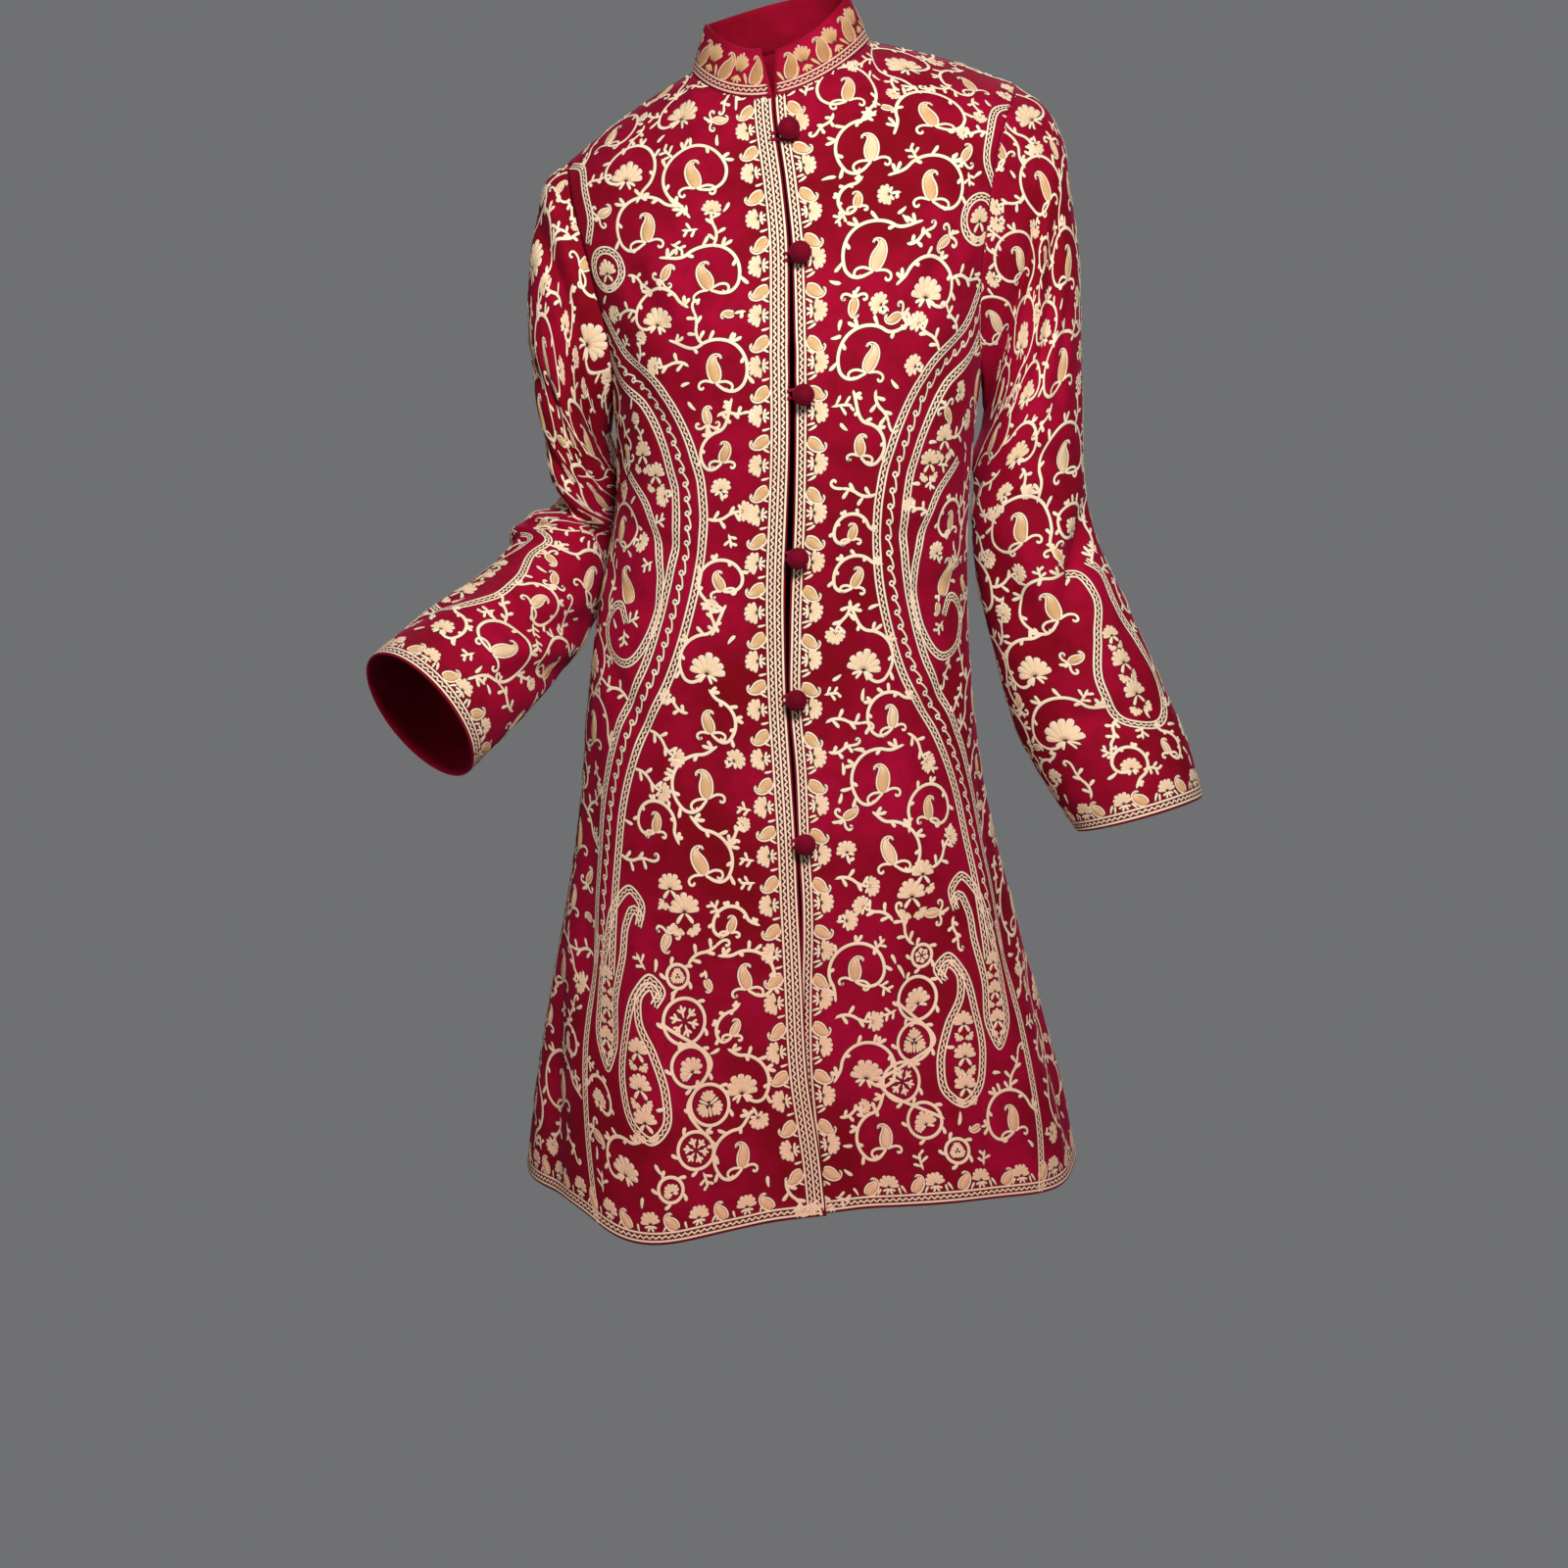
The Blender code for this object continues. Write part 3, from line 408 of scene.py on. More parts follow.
def panel_point_rows(side, face, levels, shares):
    """Rows of a quarter. Levels run down from 0 at the top edge, with CAP_LENGTH at the first section."""
    top = top_edge(side, face, shares)
    heading = top_heading(side, face, shares)
    first = panel_ring(side, face, FIRST_SECTION_Z, shares)
    step = 0.004
    below = panel_ring(side, face, FIRST_SECTION_Z - step, shares)
    falling = (below - first) / step
    reach = np.linalg.norm(first - top, axis=1, keepdims=True)
    rows = []
    for level in levels:
        if level < CAP_LENGTH:
            a, b, c, d = weights(level / CAP_LENGTH)
            rows.append(a * top + b * heading * reach * 1.1 + c * first + d * falling * reach)
        else:
            rows.append(panel_ring(side, face, FIRST_SECTION_Z - (level - CAP_LENGTH), shares))
    return lean(np.array(rows))


def grid_normals(grid):
    """Outward normals of a grid: rows run down and columns run round, seen from outside."""
    return unit(np.cross(np.gradient(grid, axis=0), np.gradient(grid, axis=1)))


def row_levels():
    """The levels of the panels' rows: closer together towards the underarm, and even below it."""
    underarm = CAP_LENGTH + FIRST_SECTION_Z - UNDERARM_Z
    hem = CAP_LENGTH + FIRST_SECTION_Z - HEM_Z
    t = np.linspace(0.0, 1.0, ARMHOLE_ROWS + 1)
    upper = underarm * (1 - (1 - t) ** PANEL_CROWDING)
    return np.concatenate([upper, np.linspace(underarm, hem, SKIRT_ROWS + 1)[1:]])


def segment_gap(x, y, x0, y0, x1, y1):
    """Share along a segment, and distance from it, for each point."""
    run, rise = x1 - x0, y1 - y0
    along = np.clip(((x - x0) * run + (y - y0) * rise) / (run**2 + rise**2), 0.0, 1.0)
    return along, np.hypot(x - x0 - along * run, y - y0 - along * rise)


def dent(gap, width, ridge):
    """The section of a crease: a trough, with a ridge beside it of that share of its depth."""
    return np.exp(-((gap / width) ** 2)) - ridge * np.exp(-(((gap - 1.9 * width) / width) ** 2))


def panels():
    """Outer points of the fronts and the back as grids, columns running to the viewer's right."""
    levels = row_levels()
    shares = np.linspace(0.0, 1.0, FRONT_COLUMNS + 1)
    quarter = {
        (side, face): panel_point_rows(side, face, levels, shares) for side in (-1, 1) for face in (-1, 1)
    }
    back = np.concatenate([quarter[1, -1][:, ::-1], quarter[-1, -1][:, 1:]], axis=1)
    return {"front_right": quarter[-1, 1][:, ::-1], "front_left": quarter[1, 1], "back": back}


def panel_normals(grids):
    """Normals of the three panels, the same on both sides of each shoulder and side seam."""
    normals = {name: grid_normals(grid) for name, grid in grids.items()}
    neck = int(round(NECK_SHARE * FRONT_COLUMNS))
    wide = FRONT_COLUMNS
    for side, front in ((1, "front_left"), (-1, "front_right")):
        for i in range(neck, wide + 1):
            a = (0, i if side > 0 else wide - i)
            b = (0, wide - side * i)
            shared = unit(normals[front][a] + normals["back"][b])
            normals[front][a] = shared
            normals["back"][b] = shared
        edge = -1 if side > 0 else 0
        other = 0 if side > 0 else -1
        shared = unit(normals[front][ARMHOLE_ROWS:, edge] + normals["back"][ARMHOLE_ROWS:, other])
        normals[front][ARMHOLE_ROWS:, edge] = shared
        normals["back"][ARMHOLE_ROWS:, other] = shared
    return normals


def row_lengths(grid):
    """How far each point lies along its row, in metres."""
    steps = np.linalg.norm(np.diff(grid, axis=1), axis=2)
    return np.concatenate([np.zeros((len(grid), 1)), np.cumsum(steps, axis=1)], axis=1)


def shoulder_fall(grid, down):
    """How far down each point lies: by its level, and above the chest by its way over the shoulder."""
    chest = int(np.searchsorted(down, CHEST_LEVEL))
    steps = np.linalg.norm(np.diff(grid[: chest + 1], axis=0), axis=2)
    fall = np.repeat(down[:, None], grid.shape[1], axis=1)
    fall[:chest] = down[chest] - np.cumsum(steps[::-1], axis=0)[::-1]
    return fall


def round_average(values, reach):
    """The mean of each value and its neighbours on a closed row, as far as reach to each side."""
    return sum(np.roll(values, k, axis=1) for k in range(-reach, reach + 1)) / (2 * reach + 1)


def slid(grid):
    """How far each point has slid along its row since the first row, in metres."""
    along = unit(np.gradient(grid, axis=1))
    slide = (np.diff(grid, axis=0) * along[1:]).sum(axis=2)
    return np.concatenate([np.zeros((1, grid.shape[1])), np.cumsum(slide, axis=0)])


def panel_measures(grids):
    """Each panel's own flat measures: across from its front edge or its centre line, and down."""
    across = {}
    for name, grid in grids.items():
        length = row_lengths(grid)
        if name == "front_right":
            across[name] = length - length[:, -1:]
        elif name == "back":
            across[name] = length - length[:, FRONT_COLUMNS : FRONT_COLUMNS + 1]
        else:
            across[name] = length
    return across, row_levels()


def flat_map(across, down):
    """The flat measures of each point of a grid, for its cloth's own map."""
    return np.stack([across, np.repeat(down[:, None], across.shape[1], axis=1)], axis=-1)


def creased(grids, normals):
    """The panels with their soft creases, which die away at the seams."""
    across, down = panel_measures(grids)
    made = {}
    for name, grid in grids.items():
        length = np.abs(across[name])
        u = across[name] if name == "back" else length
        v = np.repeat(down[:, None], grid.shape[1], axis=1)
        total = np.zeros(u.shape)
        for u0, v0, u1, v1, width, depth in BACK_CREASES if name == "back" else FRONT_CREASES:
            shift = 0.006 if name == "front_left" else -0.005
            along, gap = segment_gap(u, v, u0, v0 + shift, u1, v1 - shift)
            total += depth * (1 - (2 * along - 1) ** 4 * 0.7) * dent(gap, width, 0.35)
        wave = 0.0005 * np.sin(u * 61 + 2.0 * np.sin(v * 23)) * np.sin(v * 47 + 1.5 * np.sin(u * 31))
        outer = length[:, -1:] if name == "front_left" else length[:, :1]
        if name == "back":
            side_gap = np.minimum(np.abs(length[:, -1:] - length), np.abs(outer - length))
        else:
            side_gap = outer - length
        edge = fade(side_gap, 0.004, 0.030) * fade(v, 0.0, 0.035)
        if name != "back":
            edge = edge * fade(length, -0.004, 0.020)
        made[name] = grid - ((total + wave) * edge)[..., None] * normals[name]
    return made


def seam_row(edge, normal, outward, away, wall):
    """The first row of a piece sewn to another's edge: its outer and its inner points."""
    fold = np.arctan2((away * normal).sum(axis=1), (away * outward).sum(axis=1))
    fold = np.clip(fold, 0.0, np.pi)[:, None]
    inward = np.sin(fold) * outward - np.cos(fold) * normal
    shift = unit(outward * (1 + np.cos(fold)) / 2 + normal * (1 - np.cos(fold)) / 2)
    first = edge + SEAM * shift
    return first, first + wall * inward


def armhole_loop(grids, normals, side):
    """The armhole's points from the shoulder down the front and up the back, with normals and the way out."""
    front = "front_left" if side > 0 else "front_right"
    rows = slice(0, ARMHOLE_ROWS + 1)

    def edge(name, index, inner):
        points = grids[name][rows, index]
        return points, normals[name][rows, index], points - grids[name][rows, inner]

    pf, nf, of = edge(front, -1 if side > 0 else 0, -2 if side > 0 else 1)
    pb, nb, ob = edge("back", 0 if side > 0 else -1, 1 if side > 0 else -2)
    points = np.concatenate([[(pf[0] + pb[0]) / 2], pf[1:-1], [(pf[-1] + pb[-1]) / 2], pb[-2:0:-1]])
    normal = unit(np.concatenate([[nf[0] + nb[0]], nf[1:-1], [nf[-1] + nb[-1]], nb[-2:0:-1]]))
    out = np.concatenate([[of[0] + ob[0]], of[1:-1], [np.array([0.0, 0.0, 1.0])], ob[-2:0:-1]])
    tangent = unit(np.roll(points, -1, axis=0) - np.roll(points, 1, axis=0))
    out = out - (out * tangent).sum(axis=1, keepdims=True) * tangent
    out = out - (out * normal).sum(axis=1, keepdims=True) * normal
    return points, normal, unit(out)


def carried(vector, old, new):
    """vector turned by the smallest turn that takes direction old to new."""
    axis = np.cross(old, new)
    sine, cosine = np.linalg.norm(axis), float(np.dot(old, new))
    if sine < 1e-9:
        return vector
    axis = axis / sine
    return vector * cosine + np.cross(axis, vector) * sine + axis * np.dot(axis, vector) * (1 - cosine)


def sleeve_sections(table, side, around):
    """Rings of points, one for each section of a sleeve, at the given angles round it."""
    outward, forward, up = np.diag([side, -1.0, 1.0])
    old, top, front = outward, up, forward
    rings = []
    for x, y, z, heading, dip, across, deep in table:
        h, d = math.radians(heading), math.radians(dip)
        new = math.cos(d) * (math.cos(h) * outward + math.sin(h) * forward) - math.sin(d) * up
        top, front, old = carried(top, old, new), carried(front, old, new), new
        angle = np.radians(around)[:, None]
        rings.append(np.array([side * x, y, z]) + across * np.cos(angle) * top + deep * np.sin(angle) * front)
    return np.array(rings)


def loop_angles(points):
    """The angle of each armhole point round the sleeve: 0 at the shoulder and 180 at the underarm."""
    length = lengths(np.concatenate([points, points[:1]]))
    n = ARMHOLE_ROWS
    front = 180.0 * length[: n + 1] / length[n]
    back = 180.0 + 180.0 * (length[n + 1 : -1] - length[n]) / (length[-1] - length[n])
    return np.concatenate([front, back])


def fold_depth(folds, shares, angles):
    """How far the folds draw each point of a sleeve inwards."""
    down = shares[:, None] * SLEEVE_LENGTH
    total = np.zeros((len(shares), len(angles)))
    for from_share, from_angle, to_share, to_angle, width, depth in folds:
        reach = math.radians(to_angle - from_angle) * SLEEVE_RADIUS
        for whole_turn in (-360.0, 0.0, 360.0):
            round_it = np.radians(angles[None, :] + whole_turn - from_angle) * SLEEVE_RADIUS
            ends = (from_share * SLEEVE_LENGTH, 0.0, to_share * SLEEVE_LENGTH, reach)
            along, gap = segment_gap(down, round_it, *ends)
            ridge = 0.3 if width < WIDE_FOLD else 0.0
            total += depth * (1 - (2 * along - 1) ** 4 * 0.6) * dent(gap, width, ridge)
    return total * fade(shares, 0.0, 0.04)[:, None] * fade(shares, 1.0, 0.93)[:, None]


def sleeve(table, folds, side, loop):
    """Outer and inner points of a sleeve and its normals, rows from the armhole to the cuff."""
    points, normal, outward = loop
    around = loop_angles(points)
    rings = np.concatenate([points[None], sleeve_sections(table, side, around)])
    centres = rings.mean(axis=1)
    steps = np.linalg.norm(np.diff(centres, axis=0), axis=1) + SECTION_SPACING
    along = np.concatenate([[0.0], np.cumsum(steps)])
    shares = np.linspace(0.0, 1.0, SLEEVE_ROWS + 1) ** SLEEVE_CROWDING
    grid = smooth(along / along[-1], rings, shares)
    inward = unit(grid.mean(axis=1, keepdims=True) - grid)
    grid = grid + fold_depth(folds, shares, around)[:, :, None] * inward
    closed = np.concatenate([grid[:, -1:], grid, grid[:, :1]], axis=1)
    facing = unit(np.cross(np.gradient(closed, axis=0), np.gradient(closed, axis=1)))[:, 1:-1]
    facing *= np.sign((facing * -inward).sum()) or 1.0
    inner = grid - WALL * facing
    grid[0], inner[0] = seam_row(points, normal, outward, unit(grid[1] - grid[0]), WALL)
    return grid, inner, facing


def collar_points(grids, normals):
    """The collar's outer and inner points, from the right front edge round the back to the left one."""
    neck = int(round(NECK_SHARE * FRONT_COLUMNS))
    wide = FRONT_COLUMNS
    picks = [("front_right", wide - i) for i in range(neck + 1)]
    picks += [("back", 2 * wide - i) for i in range(wide - neck + 1, wide)]
    picks += [("back", wide)] + [("back", wide - i) for i in range(1, neck)]
    picks += [("front_left", neck - i) for i in range(neck + 1)]
    base = np.array([grids[name][0, i] for name, i in picks])
    facing = np.array([normals[name][0, i] for name, i in picks])
    outward = np.cross(facing, unit(np.gradient(base, axis=0)))
    middle_point = base.mean(axis=0)
    towards = middle_point - base
    outward *= np.sign((outward * towards).sum(axis=1, keepdims=True))
    level = np.array([1.0, 1.0, 0.0])
    up = np.array([0.0, 0.0, 1.0])
    round_it = np.linspace(-1.0, 1.0, len(base))
    lean_in = np.interp(round_it, [-0.45, 0.0, 0.45], COLLAR_LEAN_IN)[:, None]
    rise = unit(up * COLLAR_HEIGHT + unit(towards * level) * lean_in)
    first, first_inner = seam_row(base, unit(facing), unit(outward), rise, COLLAR_WALL)
    ends = np.abs(round_it) ** 16 * np.where(round_it < 0, -COLLAR_NOTCH[0], COLLAR_NOTCH[1])
    rows, inner_rows = [first], [first_inner]
    for h in np.linspace(0.0, 1.0, COLLAR_ROWS + 1)[1:]:
        lift = first + rise * COLLAR_HEIGHT * h
        lift = lift + (ends * h)[:, None] * np.array([1.0, 0.0, 0.0])
        into = unit(-(lift - middle_point) * level)
        rows.append(lift)
        inner_rows.append(lift + into * COLLAR_WALL)
    return np.array(rows), np.array(inner_rows)


def front_place(grid, normals, drop, inset):
    """The point and normal on the left front that is drop below the origin and inset from its edge."""
    rows = grid[:, 0]
    row = max(1, min(len(rows) - 2, int(np.argmin(np.abs(rows[:, 2] + drop)))))
    other = row + 1 if rows[row, 2] > -drop else row - 1
    share = (rows[row, 2] + drop) / (rows[row, 2] - rows[other, 2])
    line = grid[row] * (1 - share) + grid[other] * share
    facing = normals[row] * (1 - share) + normals[other] * share
    length = lengths(line)
    return read_line(inset, length, line), unit(read_line(inset, length, facing))


def mesh_object(name, vertices, quads, material, maps=()):
    """A mesh of four-sided faces. maps holds the name and the two values per vertex of each UV map."""
    mesh = bpy.data.meshes.new(name)
    quads = np.asarray(quads, np.int32)
    mesh.vertices.add(len(vertices))
    mesh.vertices.foreach_set("co", np.asarray(vertices, np.float32).ravel())
    mesh.loops.add(quads.size)
    mesh.loops.foreach_set("vertex_index", quads.ravel())
    mesh.polygons.add(len(quads))
    mesh.polygons.foreach_set("loop_start", np.arange(0, quads.size, 4, dtype=np.int32))
    mesh.update(calc_edges=True)
    mesh.validate()
    for map_name, values in maps:
        layer = mesh.uv_layers.new(name=map_name)
        layer.data.foreach_set("uv", np.asarray(values, np.float32)[quads.ravel()].ravel())
    mesh.shade_smooth()
    made = bpy.data.objects.new(name, mesh)
    bpy.context.scene.collection.objects.link(made)
    made.data.materials.append(material)
    return made


def grid_quads(rows, columns, closed=False, start=0):
    """Faces of a grid of vertices, numbered from start."""
    r, c = np.meshgrid(np.arange(rows - 1), np.arange(columns if closed else columns - 1), indexing="ij")
    n = (c + 1) % columns
    row, below = r * columns, (r + 1) * columns
    return np.stack([row + c, below + c, below + n, row + n], axis=-1).reshape(-1, 4) + start


def rolled_rim(outer, inner):
    """The wall's free bottom edge, rounded: a middle row that stands a little beyond both faces."""
    thickness = np.linalg.norm(outer[-1] - inner[-1], axis=1, keepdims=True)
    return (outer[-1] + inner[-1]) / 2 + 0.35 * thickness * unit(outer[-1] - outer[-2])


def wall_object(name, outer, inner, flat, material, closed=False):
    """A thin closed shell from its outer and inner points, with its rims rounded."""
    rows, columns = outer.shape[:2]
    count = rows * columns
    rim = rolled_rim(outer, inner)
    vertices = np.concatenate([outer.reshape(-1, 3), inner.reshape(-1, 3), rim])
    quads = [grid_quads(rows, columns, closed), grid_quads(rows, columns, closed, count)[:, ::-1]]
    c = np.arange(columns if closed else columns - 1)
    n = (c + 1) % columns
    last = (rows - 1) * columns
    bottom = 2 * count
    quads.append(np.stack([c, n, n + count, c + count], axis=1))
    quads.append(np.stack([last + c, bottom + c, bottom + n, last + n], axis=1))
    quads.append(np.stack([bottom + c, last + count + c, last + count + n, bottom + n], axis=1))
    if not closed:
        a = np.arange(rows - 1) * columns
        b = a + columns
        quads.append(np.stack([a, a + count, b + count, b], axis=1))
        a, b = a + columns - 1, b + columns - 1
        quads.append(np.stack([a, b, b + count, a + count], axis=1))
    quads = np.concatenate(quads)
    corners = vertices[quads]
    around = corners - vertices.mean(axis=0)
    volume = np.einsum("ij,ij->i", around[:, 0], np.cross(around[:, 1], around[:, 2])).sum()
    if volume < 0:
        quads = quads[:, ::-1]
    maps = np.concatenate([flat.reshape(-1, 2), flat.reshape(-1, 2), flat[-1]])
    made = mesh_object(name, vertices, quads, material, [("cloth", maps)])
    if not closed:
        right = columns - 1
        rim_ends = [(last, last + count, bottom), (bottom + right, last + count + right, last + right)]
        add_triangles(made, rim_ends)
    return made


def add_triangles(made, triangles):
    """Closes a mesh with triangles, each given by the numbers of its vertices."""
    work = bmesh.new()
    work.from_mesh(made.data)
    work.verts.ensure_lookup_table()
    for ids in triangles:
        face = work.faces.new([work.verts[i] for i in ids])
        face.smooth = True
    bmesh.ops.recalc_face_normals(work, faces=work.faces)
    work.to_mesh(made.data)
    work.free()


def round_solid(name, rings, sides, ends, material):
    """A solid from rings of vertices, closed to a point at each end."""
    vertices = [*rings, *ends]
    last = len(rings)
    triangles = []
    for s in range(sides):
        n = (s + 1) % sides
        triangles += [(last, s, n), (last + 1, last - sides + n, last - sides + s)]
    made = mesh_object(name, vertices, grid_quads(last // sides, sides, closed=True), material)
    add_triangles(made, triangles)
    return made


def row_groups(low):
    """The rows in use, each with the numbers of the places that lie on it."""
    order = np.argsort(low, kind="stable")
    for chunk in np.split(order, np.flatnonzero(np.diff(low[order])) + 1):
        if len(chunk):
            yield low[chunk[0]], chunk


def between(values, line, table):
    """Where each value lies along its line of the table. A line with a fraction lies between two lines."""
    low = np.clip(line.astype(int), 0, len(table) - 2)
    share = line - low
    found = np.zeros(len(values))
    for row, chunk in row_groups(low):
        for k, weight in ((row, 1 - share[chunk]), (row + 1, share[chunk])):
            found[chunk] += weight * np.interp(values[chunk], table[k], np.arange(table.shape[1]))
    return found


# How a place's row is found: in rounds, each of which goes part of the way.
ROW_ROUNDS = 5
ROW_STEP = 0.7


class Cloth:
    """The outside of one piece, read by its flat measures: u across and v down, in metres.

    fall is how far down each point lies along its own column, where the rows aren't level.
    """

    def __init__(self, grid, normals, across, down, closed=False, fall=None):
        self.down = down
        self.closed = closed
        self.top = down[0] if fall is None else fall.min()
        if closed:
            girth = row_lengths(np.concatenate([grid, grid[:, :1]], axis=1))[:, -1:]
            self.girth = girth[:, 0]
            grid, normals, fall = (np.concatenate([x, x, x, x[:, :1]], axis=1) for x in (grid, normals, fall))
            turns = [across - girth, across, across + girth, across[:, :1] + 2 * girth]
            across = np.concatenate(turns, axis=1)
        self.grid, self.normals, self.across, self.fall = grid, normals, across, fall

    def width(self, v):
        """The ends of the row at v: the least and the greatest u."""
        if self.closed:
            half = float(np.interp(v, self.down, self.girth)) / 2
            return -half, half
        return tuple(float(np.interp(v, self.down, self.across[:, i])) for i in (0, -1))

    def row_at(self, u, v):
        """The row at each place, as a number with a fraction."""
        row = np.interp(v, self.down, np.arange(len(self.down)))
        if self.fall is not None:
            for _ in range(ROW_ROUNDS):
                column = between(u, row, self.across)
                row += ROW_STEP * (between(v, column, self.fall.T) - row)
        return row

    def at(self, flat):
        """Points, normals and whether each lies on the piece."""
        u, v = flat[:, 0], flat[:, 1]
        row = self.row_at(u, v)
        low = np.clip(row.astype(int), 0, len(self.down) - 2)
        share = (row - low)[:, None]
        inside = (v >= self.top - 1e-6) & (v <= self.down[-1] + 1e-6)
        if self.fall is not None:
            inside &= row > 0.02
        points = np.zeros((len(u), 3))
        facing = np.zeros((len(u), 3))
        columns = np.arange(self.across.shape[1])
        for r, chunk in row_groups(low):
            edge = self.across[r] * (1 - share[chunk]) + self.across[r + 1] * share[chunk]
            inside[chunk] &= (u[chunk] >= edge[:, 0]) & (u[chunk] <= edge[:, -1])
            for k, weight in ((r, 1 - share[chunk]), (r + 1, share[chunk])):
                place = np.interp(u[chunk], self.across[k], columns)
                c = np.clip(place.astype(int), 0, len(columns) - 2)
                f = (place - c)[:, None]
                points[chunk] += weight * (self.grid[k, c] * (1 - f) + self.grid[k, c + 1] * f)
                facing[chunk] += weight * (self.normals[k, c] * (1 - f) + self.normals[k, c + 1] * f)
        return points, unit(facing), inside


# Embroidery. The first four are half widths of stitch rows, and the last is the width of the strip beside a
# row that is painted near black as the thread's shadow on the cloth.
THREAD = 0.00112
FINE = 0.00086
VINE = 0.00142
LEAF = 0.00162
SHADOW_STRIP = 0.00070
ROUNDING = 0.40
THREAD_RISE = 0.00055
THREAD_LIFT = 0.00012
LINK = 0.0018
FILL_ROW = 0.00095
WIDE_FILL = 0.0028
RING_GAP = 0.0003
CREAM, LIGHT, MIDDLE, GOLD = 0.0, 0.35, 0.6, 1.0

TRIM_START = 0.0024
TRIM_STEP = 0.0034
FRONT_TRIM_STEP = 0.0032
TRIM_WAVE = 0.0056
MOTIF_PITCH = 0.0205
HEM_MOTIF_INSET = 0.0105
HEM_MOTIF_SIZE = 0.95
LINE_GAP = 0.0058


class Work:
    """The embroidery of one piece of cloth."""

    def __init__(self, cloth):
        self.cloth = cloth
        self.lines = []
        self.taken = [np.zeros((0, 3))]

    def thread(self, points, half=THREAD, tone=CREAM, across=3, rise=THREAD_RISE):
        """A raised line through points. half is its half width; half and tone may differ at each point."""
        points = np.asarray(points, float)
        half = np.broadcast_to(np.asarray(half, float), (len(points),))
        tone = np.broadcast_to(np.asarray(tone, float), (len(points),))
        self.lines.append((points, half, tone, across, rise))

    def hold(self, points, clear):
        """Marks the ground round the points as used, clear metres out."""
        points = np.atleast_2d(points)
        self.taken.append(np.column_stack([points, np.full(len(points), clear)]))

    def gaps(self, u, v):
        """Distances from a place to all that is placed, less the ground that each takes."""
        taken = np.concatenate(self.taken)
        du = taken[:, 0] - u
        if self.cloth.closed:
            low, high = self.cloth.width(v)
            girth = high - low
            du = (du + girth / 2) % girth - girth / 2
        return np.hypot(du, taken[:, 1] - v) - taken[:, 2], du, taken[:, 1] - v

    def free(self, u, v, radius):
        """Whether a round of that radius is clear of all that is placed, and lies mostly on the piece."""
        low, high = self.cloth.width(v)
        top, bottom = self.cloth.top, self.cloth.down[-1]
        if not self.cloth.closed and not (low + 0.45 * radius < u < high - 0.45 * radius):
            return False
        if not top + 0.5 * radius < v < bottom - 0.6 * radius:
            return False
        return bool((self.gaps(u, v)[0] > radius).all())

    def away(self, u, v):
        """The direction from the nearest thing placed to this place, and how far that is."""
        gap, du, dv = self.gaps(u, v)
        k = int(np.argmin(gap))
        return math.atan2(-dv[k], -du[k]), float(gap[k])

    def make(self, name, material):
        flats, shapes, links, rims, quads = [], [], [], [], []
        base = 0
        for points, half, tone, across, rise in self.lines:
            n = len(points)
            heading = unit(np.gradient(points, axis=0))
            side = np.stack([-heading[:, 1], heading[:, 0]], axis=1)
            k = np.linspace(-1.0, 1.0, across)
            # The ribbon reaches past the thread by a strip that the thread material paints near black as the
            # thread's shadow on the cloth.
            wide = half + SHADOW_STRIP
            if np.linalg.norm(points[0] - points[-1]) > RING_GAP:
                wide[[0, -1]] *= ROUNDING
            flat = points[:, None] + side[:, None] * (wide[:, None] * k)[..., None]
            length = lengths(points)
            rows = 0.5 + 0.5 * k[None] if across == 3 else 0.5 + half[:, None] * k / FILL_ROW
            rows = np.broadcast_to(rows, (n, across))
            flats.append(flat.reshape(-1, 2))
            swell = np.clip(half / (THREAD if across == 3 else WIDE_FILL), 0.25, 1.0)[:, None]
            shapes.append((THREAD_LIFT + rise * swell * (1 - np.abs(k[None]) ** 2.4)).ravel())
            links.append(np.stack([np.repeat(length / LINK, across), rows.ravel()], axis=1))
            # How far in from the ribbon's edge each point lies, in mm: the thread material paints the outer
            # strip near black as the thread's shadow.
            edge = wide[:, None] * (1 - np.abs(k)) * 1000
            rims.append(np.stack([edge.ravel(), np.repeat(tone, across)], axis=1))
            quads.append(grid_quads(n, across, start=base))
            base += n * across
        flat = np.concatenate(flats)
        height = np.concatenate(shapes)
        points, facing, inside = self.cloth.at(flat)
        quads = np.concatenate(quads)
        quads = quads[inside[quads].all(axis=1)]
        used = np.unique(quads)
        order = np.zeros(len(flat), int)
        order[used] = np.arange(len(used))
        vertices = (points + facing * height[:, None])[used]
        corners = vertices[order[quads]]
        tilt = np.cross(corners[:, 1] - corners[:, 0], corners[:, 3] - corners[:, 0])
        flip = (tilt * facing[quads[:, 0]]).sum(axis=1) < 0
        quads = order[quads]
        quads[flip] = quads[flip][:, ::-1]
        maps = [("thread", np.concatenate(links)[used]), ("rim", np.concatenate(rims)[used])]
        return mesh_object(name, vertices, quads, material, maps)


def bearing(step):
    """The angle of a step on the flat cloth."""
    return math.atan2(step[1], step[0])


def way(angle, reach=1.0):
    return reach * np.array([math.cos(angle), math.sin(angle)])


def even(points, step):
    """A line through points in even steps."""
    length = lengths(points)
    at = np.linspace(0.0, length[-1], max(3, int(round(length[-1] / step)) + 1))
    return read_line(at, length, points)


def curve(points, step=0.002):
    """A smooth line through points, in even steps."""
    points = np.asarray(points, float)
    length = lengths(points)
    dense = smooth(length, points, np.linspace(0.0, length[-1], max(8, int(length[-1] / step) * 3)))
    return even(dense, step)


def beside(points, gap):
    """The line that runs gap to one side of a line."""
    heading = unit(np.gradient(points, axis=0))
    return points + gap * np.stack([-heading[:, 1], heading[:, 0]], axis=1)


def waved(points, height, period):
    """A wavy line along a line."""
    points = even(points, period / 4)
    swing = np.array([0.0, 1.0, 0.0, -1.0])[np.arange(len(points)) % 4] * height
    return beside(points, swing[:, None])


